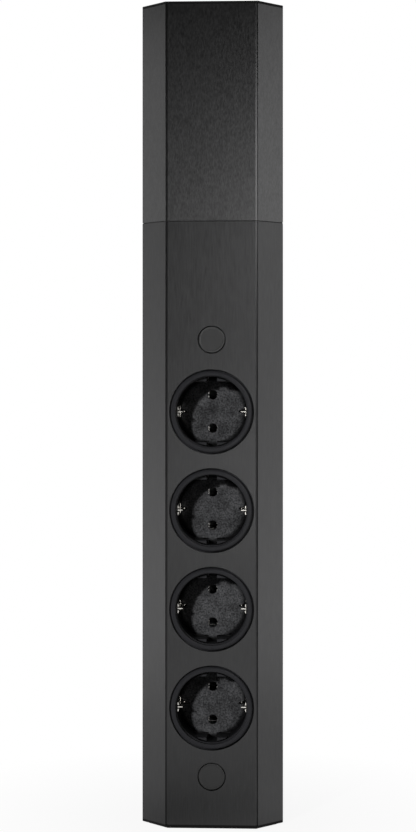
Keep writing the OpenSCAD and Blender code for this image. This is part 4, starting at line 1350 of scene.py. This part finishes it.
class TOWER_OT_rubber_parts(TowerOperator, bpy.types.Operator):
    """Moulds the cable grommet and the pad under the foot"""

    bl_idname = "tower.rubber_parts"
    bl_label = "Rubber parts"

    neck_r, bore_r, flange_t, taper = 6.9 * MM, 4.25 * MM, 1.2 * MM, 0.8 * MM
    # Roundings of the grommet's edges from the top down
    top_r, under_r, shoulder_r, tip_r, foot_r = 0.5 * MM, 0.1 * MM, 0.2 * MM, 0.4 * MM, 0.3 * MM
    pad_inset, pad_edge = 2.5 * MM, 0.25 * MM
    steps = 96

    def execute(self, context):
        props, lines = self.sizes(context)
        low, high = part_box("cable_grommet")
        flange_r = (high.x - low.x) / 2
        top_step, low_step = high.z - self.flange_t, low.z + self.flange_t
        grommet = turned("grommet", [
            (self.bore_r, high.z, self.top_r), (flange_r, high.z, self.top_r),
            (flange_r, top_step, self.under_r), (self.neck_r, top_step, 0), (self.neck_r, low_step, 0),
            (flange_r, low_step, self.shoulder_r), (flange_r - self.taper, low.z, self.tip_r),
            (self.bore_r, low.z, self.foot_r),
        ], self.steps, props.arc_steps, (0, middle("cable_grommet").y), "Z")
        hand_over(smooth(grommet), "upper_sleeve", "black_rubber", "black_rubber", "cable_grommet")
        low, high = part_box("base_pad")
        pad = prism("foot_pad", plan(lines.outer(self.pad_inset), props.arc_steps), low.z, high.z)
        soften_ends(pad, [low.z], self.pad_edge)
        hand_over(smooth(pad), "lower_casing", "black_rubber", "black_rubber", "base_pad")
        return {"FINISHED"}


class TOWER_OT_inner_parts(TowerOperator, bpy.types.Operator):
    """Gives the working parts inside, whose CAD shape stays, their finishes"""

    bl_idname = "tower.inner_parts"
    bl_label = "Inner parts"

    def execute(self, context):
        wanted = {
            "inner_plastic": ["glide_pads", "stop_bar", "fixing_sleeve_lower", "fixing_sleeve_upper",
                              "terminal_carrier", "cable_clamp", *(f"socket_{n}_base" for n in SOCKETS)],
            "terminal_plastic": ["terminal_block"],
            "contact_brass": ["live_bar", "neutral_bar", "earth_bar"],
        }
        for name, nodes in wanted.items():
            for node in nodes:
                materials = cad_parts[node].data.materials
                materials.clear()
                materials.append(finish(name))
        return {"FINISHED"}


class TOWER_OT_stage(TowerOperator, bpy.types.Operator):
    """Sets up the pale floor, the soft lights, the white background and the camera"""

    bl_idname = "tower.stage"
    bl_label = "Stage"

    key_direction = Vector((-0.42, -0.85, 0.32))
    # Name, place, size across and up, power
    panels = (
        ("left panel", (-0.5, 0.06, 0.23), (0.3, 0.66), 1.0),
        ("right panel", (0.5, 0.04, 0.22), (0.3, 0.74), 1.2),
    )
    # Degrees to the right of the front, height, power
    strips = ((12, 0.06, 0.035), (12, 0.19, 0.12), (25, 0.32, 0.19), (40, 0.41, 0.58))
    strip_distance = 0.3
    strip_size = (0.05, 0.12)
    # Where the floor is dim in gloss, and how bright it is elsewhere
    dim_patch = (-0.035, -0.08, 0)
    floor_gloss = 1.25
    # How white the floor is at the start and the end of a fade, and where it starts and ends
    patch_fade = (0.3, 1, 0.02, 0.14)
    front_fade = (0.7, 1, -0.35, 0)
    sight_fade = (0.92, 1, 0.03, 0.2)
    # Between which depths of a direction the room goes from dim to white in gloss
    room_fade = (0.1, 0.5)
    floor_half = 12.0
    floor_shade = (0.6, 0.6, 0.6, 1)
    key_angle = math.radians(5)
    sensor_width = 36
    picture_h = 832

    def execute(self, context):
        settings = context.scene.socket_tower.stage
        self.room(context, settings)
        self.floor()
        self.lights(settings)
        self.camera(context, settings)
        context.scene.view_settings.view_transform = "Standard"
        return {"FINISHED"}

    def room(self, context, settings):
        """A room that the camera sees as white, and gloss sees white behind and dim in front."""
        world = bpy.data.worlds.new("room")
        world.use_nodes = True
        tree = world.node_tree
        tree.nodes.clear()
        seen = tree.nodes.new("ShaderNodeLightPath").outputs
        depth = depth_place(tree, tree.nodes.new("ShaderNodeTexCoord").outputs["Generated"])
        behind = spread(tree, depth, settings.dim_level, 1, *self.room_fade)
        level = self.blend(tree, seen["Is Glossy Ray"], settings.room_level, behind)
        level = self.blend(tree, self.straight(tree, seen), level, 1)
        backdrop = add_node(tree, "ShaderNodeBackground", {"Color": (1, 1, 1, 1), "Strength": level})
        add_node(tree, "ShaderNodeOutputWorld", {"Surface": backdrop.outputs[0]})
        context.scene.world = world

    @staticmethod
    def blend(tree, factor, first, second):
        """Goes from a first value or pattern to a second by a factor."""
        return add_node(tree, "ShaderNodeMix", {"Factor": factor, "A": first, "B": second}).outputs["Result"]

    @staticmethod
    def straight(tree, seen):
        """One where the camera sees a thing, also through glass."""
        return add_node(tree, "ShaderNodeMath", {0: seen["Is Camera Ray"], 1: seen["Is Transmission Ray"]},
                        operation="MAXIMUM").outputs[0]

    @staticmethod
    def distance(tree, place):
        """How far a point of the floor lies from a place."""
        return add_node(tree, "ShaderNodeVectorMath", {0: texture_place(tree), 1: place},
                        operation="DISTANCE").outputs["Value"]

    def floor(self):
        """A wide pale floor that keeps the tower's shadow and is white to camera and gloss."""
        bm = bmesh.new()
        bm.faces.new([bm.verts.new((x * self.floor_half, y * self.floor_half, 0))
                      for x, y in ((-1, -1), (1, -1), (1, 1), (-1, 1))])
        floor = from_bmesh("studio_floor", bm)
        material = bpy.data.materials.new("studio floor")
        material.use_nodes = True
        tree = material.node_tree
        tree.nodes.clear()
        seen = tree.nodes.new("ShaderNodeLightPath").outputs
        near_foot = times(tree, spread(tree, self.distance(tree, self.dim_patch), *self.patch_fade),
                          spread(tree, depth_place(tree, texture_place(tree)), *self.front_fade))
        in_gloss = times(tree, seen["Is Glossy Ray"], near_foot)
        in_sight = spread(tree, self.distance(tree, (0, 0, 0)), *self.sight_fade)
        share = self.blend(tree, self.straight(tree, seen), in_gloss, in_sight)
        strength = self.blend(tree, seen["Is Glossy Ray"], 1, self.floor_gloss)
        pale = add_node(tree, "ShaderNodeBsdfDiffuse", {"Color": self.floor_shade})
        white = add_node(tree, "ShaderNodeEmission", {"Strength": strength})
        mix = add_node(tree, "ShaderNodeMixShader", {0: share, 1: pale.outputs[0], 2: white.outputs[0]})
        add_node(tree, "ShaderNodeOutputMaterial", {"Surface": mix.outputs[0]})
        floor.data.materials.append(material)

    def lights(self, settings):
        """A key from the upper left, a tall panel at each side, and gloss strips near the front."""
        key = self.aim("key", "SUN", self.key_direction, Vector((0, 0, 0)), settings.key_level)
        key.data.angle = self.key_angle
        key.visible_glossy = False
        for name, place, size, power in self.panels:
            self.panel(name, Vector(place), size, power * settings.panel_level)
        for degrees, height, power in self.strips:
            right = self.strip_distance * math.tan(math.radians(degrees))
            place = Vector((right, FRONT_Y - self.strip_distance, height))
            self.panel("gloss strip", place, self.strip_size, power * settings.strip_level)

    def panel(self, name, place, size, power):
        """A soft rectangular lamp that faces the tower's axis and shows in gloss alone."""
        lamp = self.aim(name, "AREA", place, Vector((0, 0, place.z)), power)
        lamp.data.shape = "RECTANGLE"
        lamp.data.size, lamp.data.size_y = size
        lamp.visible_camera = lamp.visible_diffuse = False

    @staticmethod
    def aim(name, kind, place, target, power):
        """A lamp at a place that looks at a target."""
        lamp = new_object(name, bpy.data.lights.new(name, kind))
        lamp.data.energy = power
        lamp.location = place
        lamp.rotation_euler = (target - place).to_track_quat("-Z", "Y").to_euler()
        return lamp

    def camera(self, context, settings):
        """A level camera a little to the right, at the height of the third socket."""
        camera = new_object("camera", bpy.data.cameras.new("camera"))
        camera.data.lens = settings.lens
        camera.data.sensor_width = self.sensor_width
        camera.data.shift_y = -settings.horizon_px / self.picture_h
        pixels_per_turn = settings.lens / self.sensor_width * self.picture_h
        aim = math.atan2(settings.camera_x, settings.camera_distance)
        aim += math.atan(settings.front_px / pixels_per_turn)
        camera.location = (settings.camera_x, FRONT_Y - settings.camera_distance, settings.camera_z)
        camera.rotation_euler = (math.pi / 2, 0, aim)
        context.scene.camera = camera


class TOWER_PT_panel(bpy.types.Panel):
    """Lists the tower's makers and sizes"""

    bl_idname = "TOWER_PT_panel"
    bl_label = "Corner Socket Tower"
    bl_space_type = "VIEW_3D"
    bl_region_type = "UI"
    bl_category = "Socket Tower"

    def draw(self, context):
        props = context.scene.socket_tower
        for operator in OPERATORS:
            self.layout.operator(operator.bl_idname)
        for group in ("casing", "socket", "cover", "earth", "pin", "finish", "stage"):
            box = self.layout.box()
            box.label(text=group.capitalize())
            for name in getattr(props, group).__annotations__:
                box.prop(getattr(props, group), name)


OPERATORS = (
    TOWER_OT_stage,
    TOWER_OT_casings,
    TOWER_OT_socket_collars,
    TOWER_OT_socket_floors,
    TOWER_OT_earth_bows,
    TOWER_OT_pin_contacts,
    TOWER_OT_screw_covers,
    TOWER_OT_end_caps,
    TOWER_OT_screws,
    TOWER_OT_rubber_parts,
    TOWER_OT_inner_parts,
)
CLASSES = (
    CasingSizes, SocketSizes, CoverSizes, EarthSizes, PinSizes, FinishColours, StageSettings,
    SocketTower, *OPERATORS, TOWER_PT_panel,
)


def register():
    """Registers the classes and hangs the sizes on the scene."""
    for cls in CLASSES:
        bpy.utils.register_class(cls)
    bpy.types.Scene.socket_tower = PointerProperty(type=SocketTower)


def unregister():
    """Takes the sizes and the classes away again."""
    del bpy.types.Scene.socket_tower
    for cls in reversed(CLASSES):
        bpy.utils.unregister_class(cls)


def main():
    """Registers the add-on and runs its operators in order."""
    register()
    for operator in OPERATORS:
        group, name = operator.bl_idname.split(".")
        getattr(getattr(bpy.ops, group), name)()


if __name__ == "__main__":
    main()
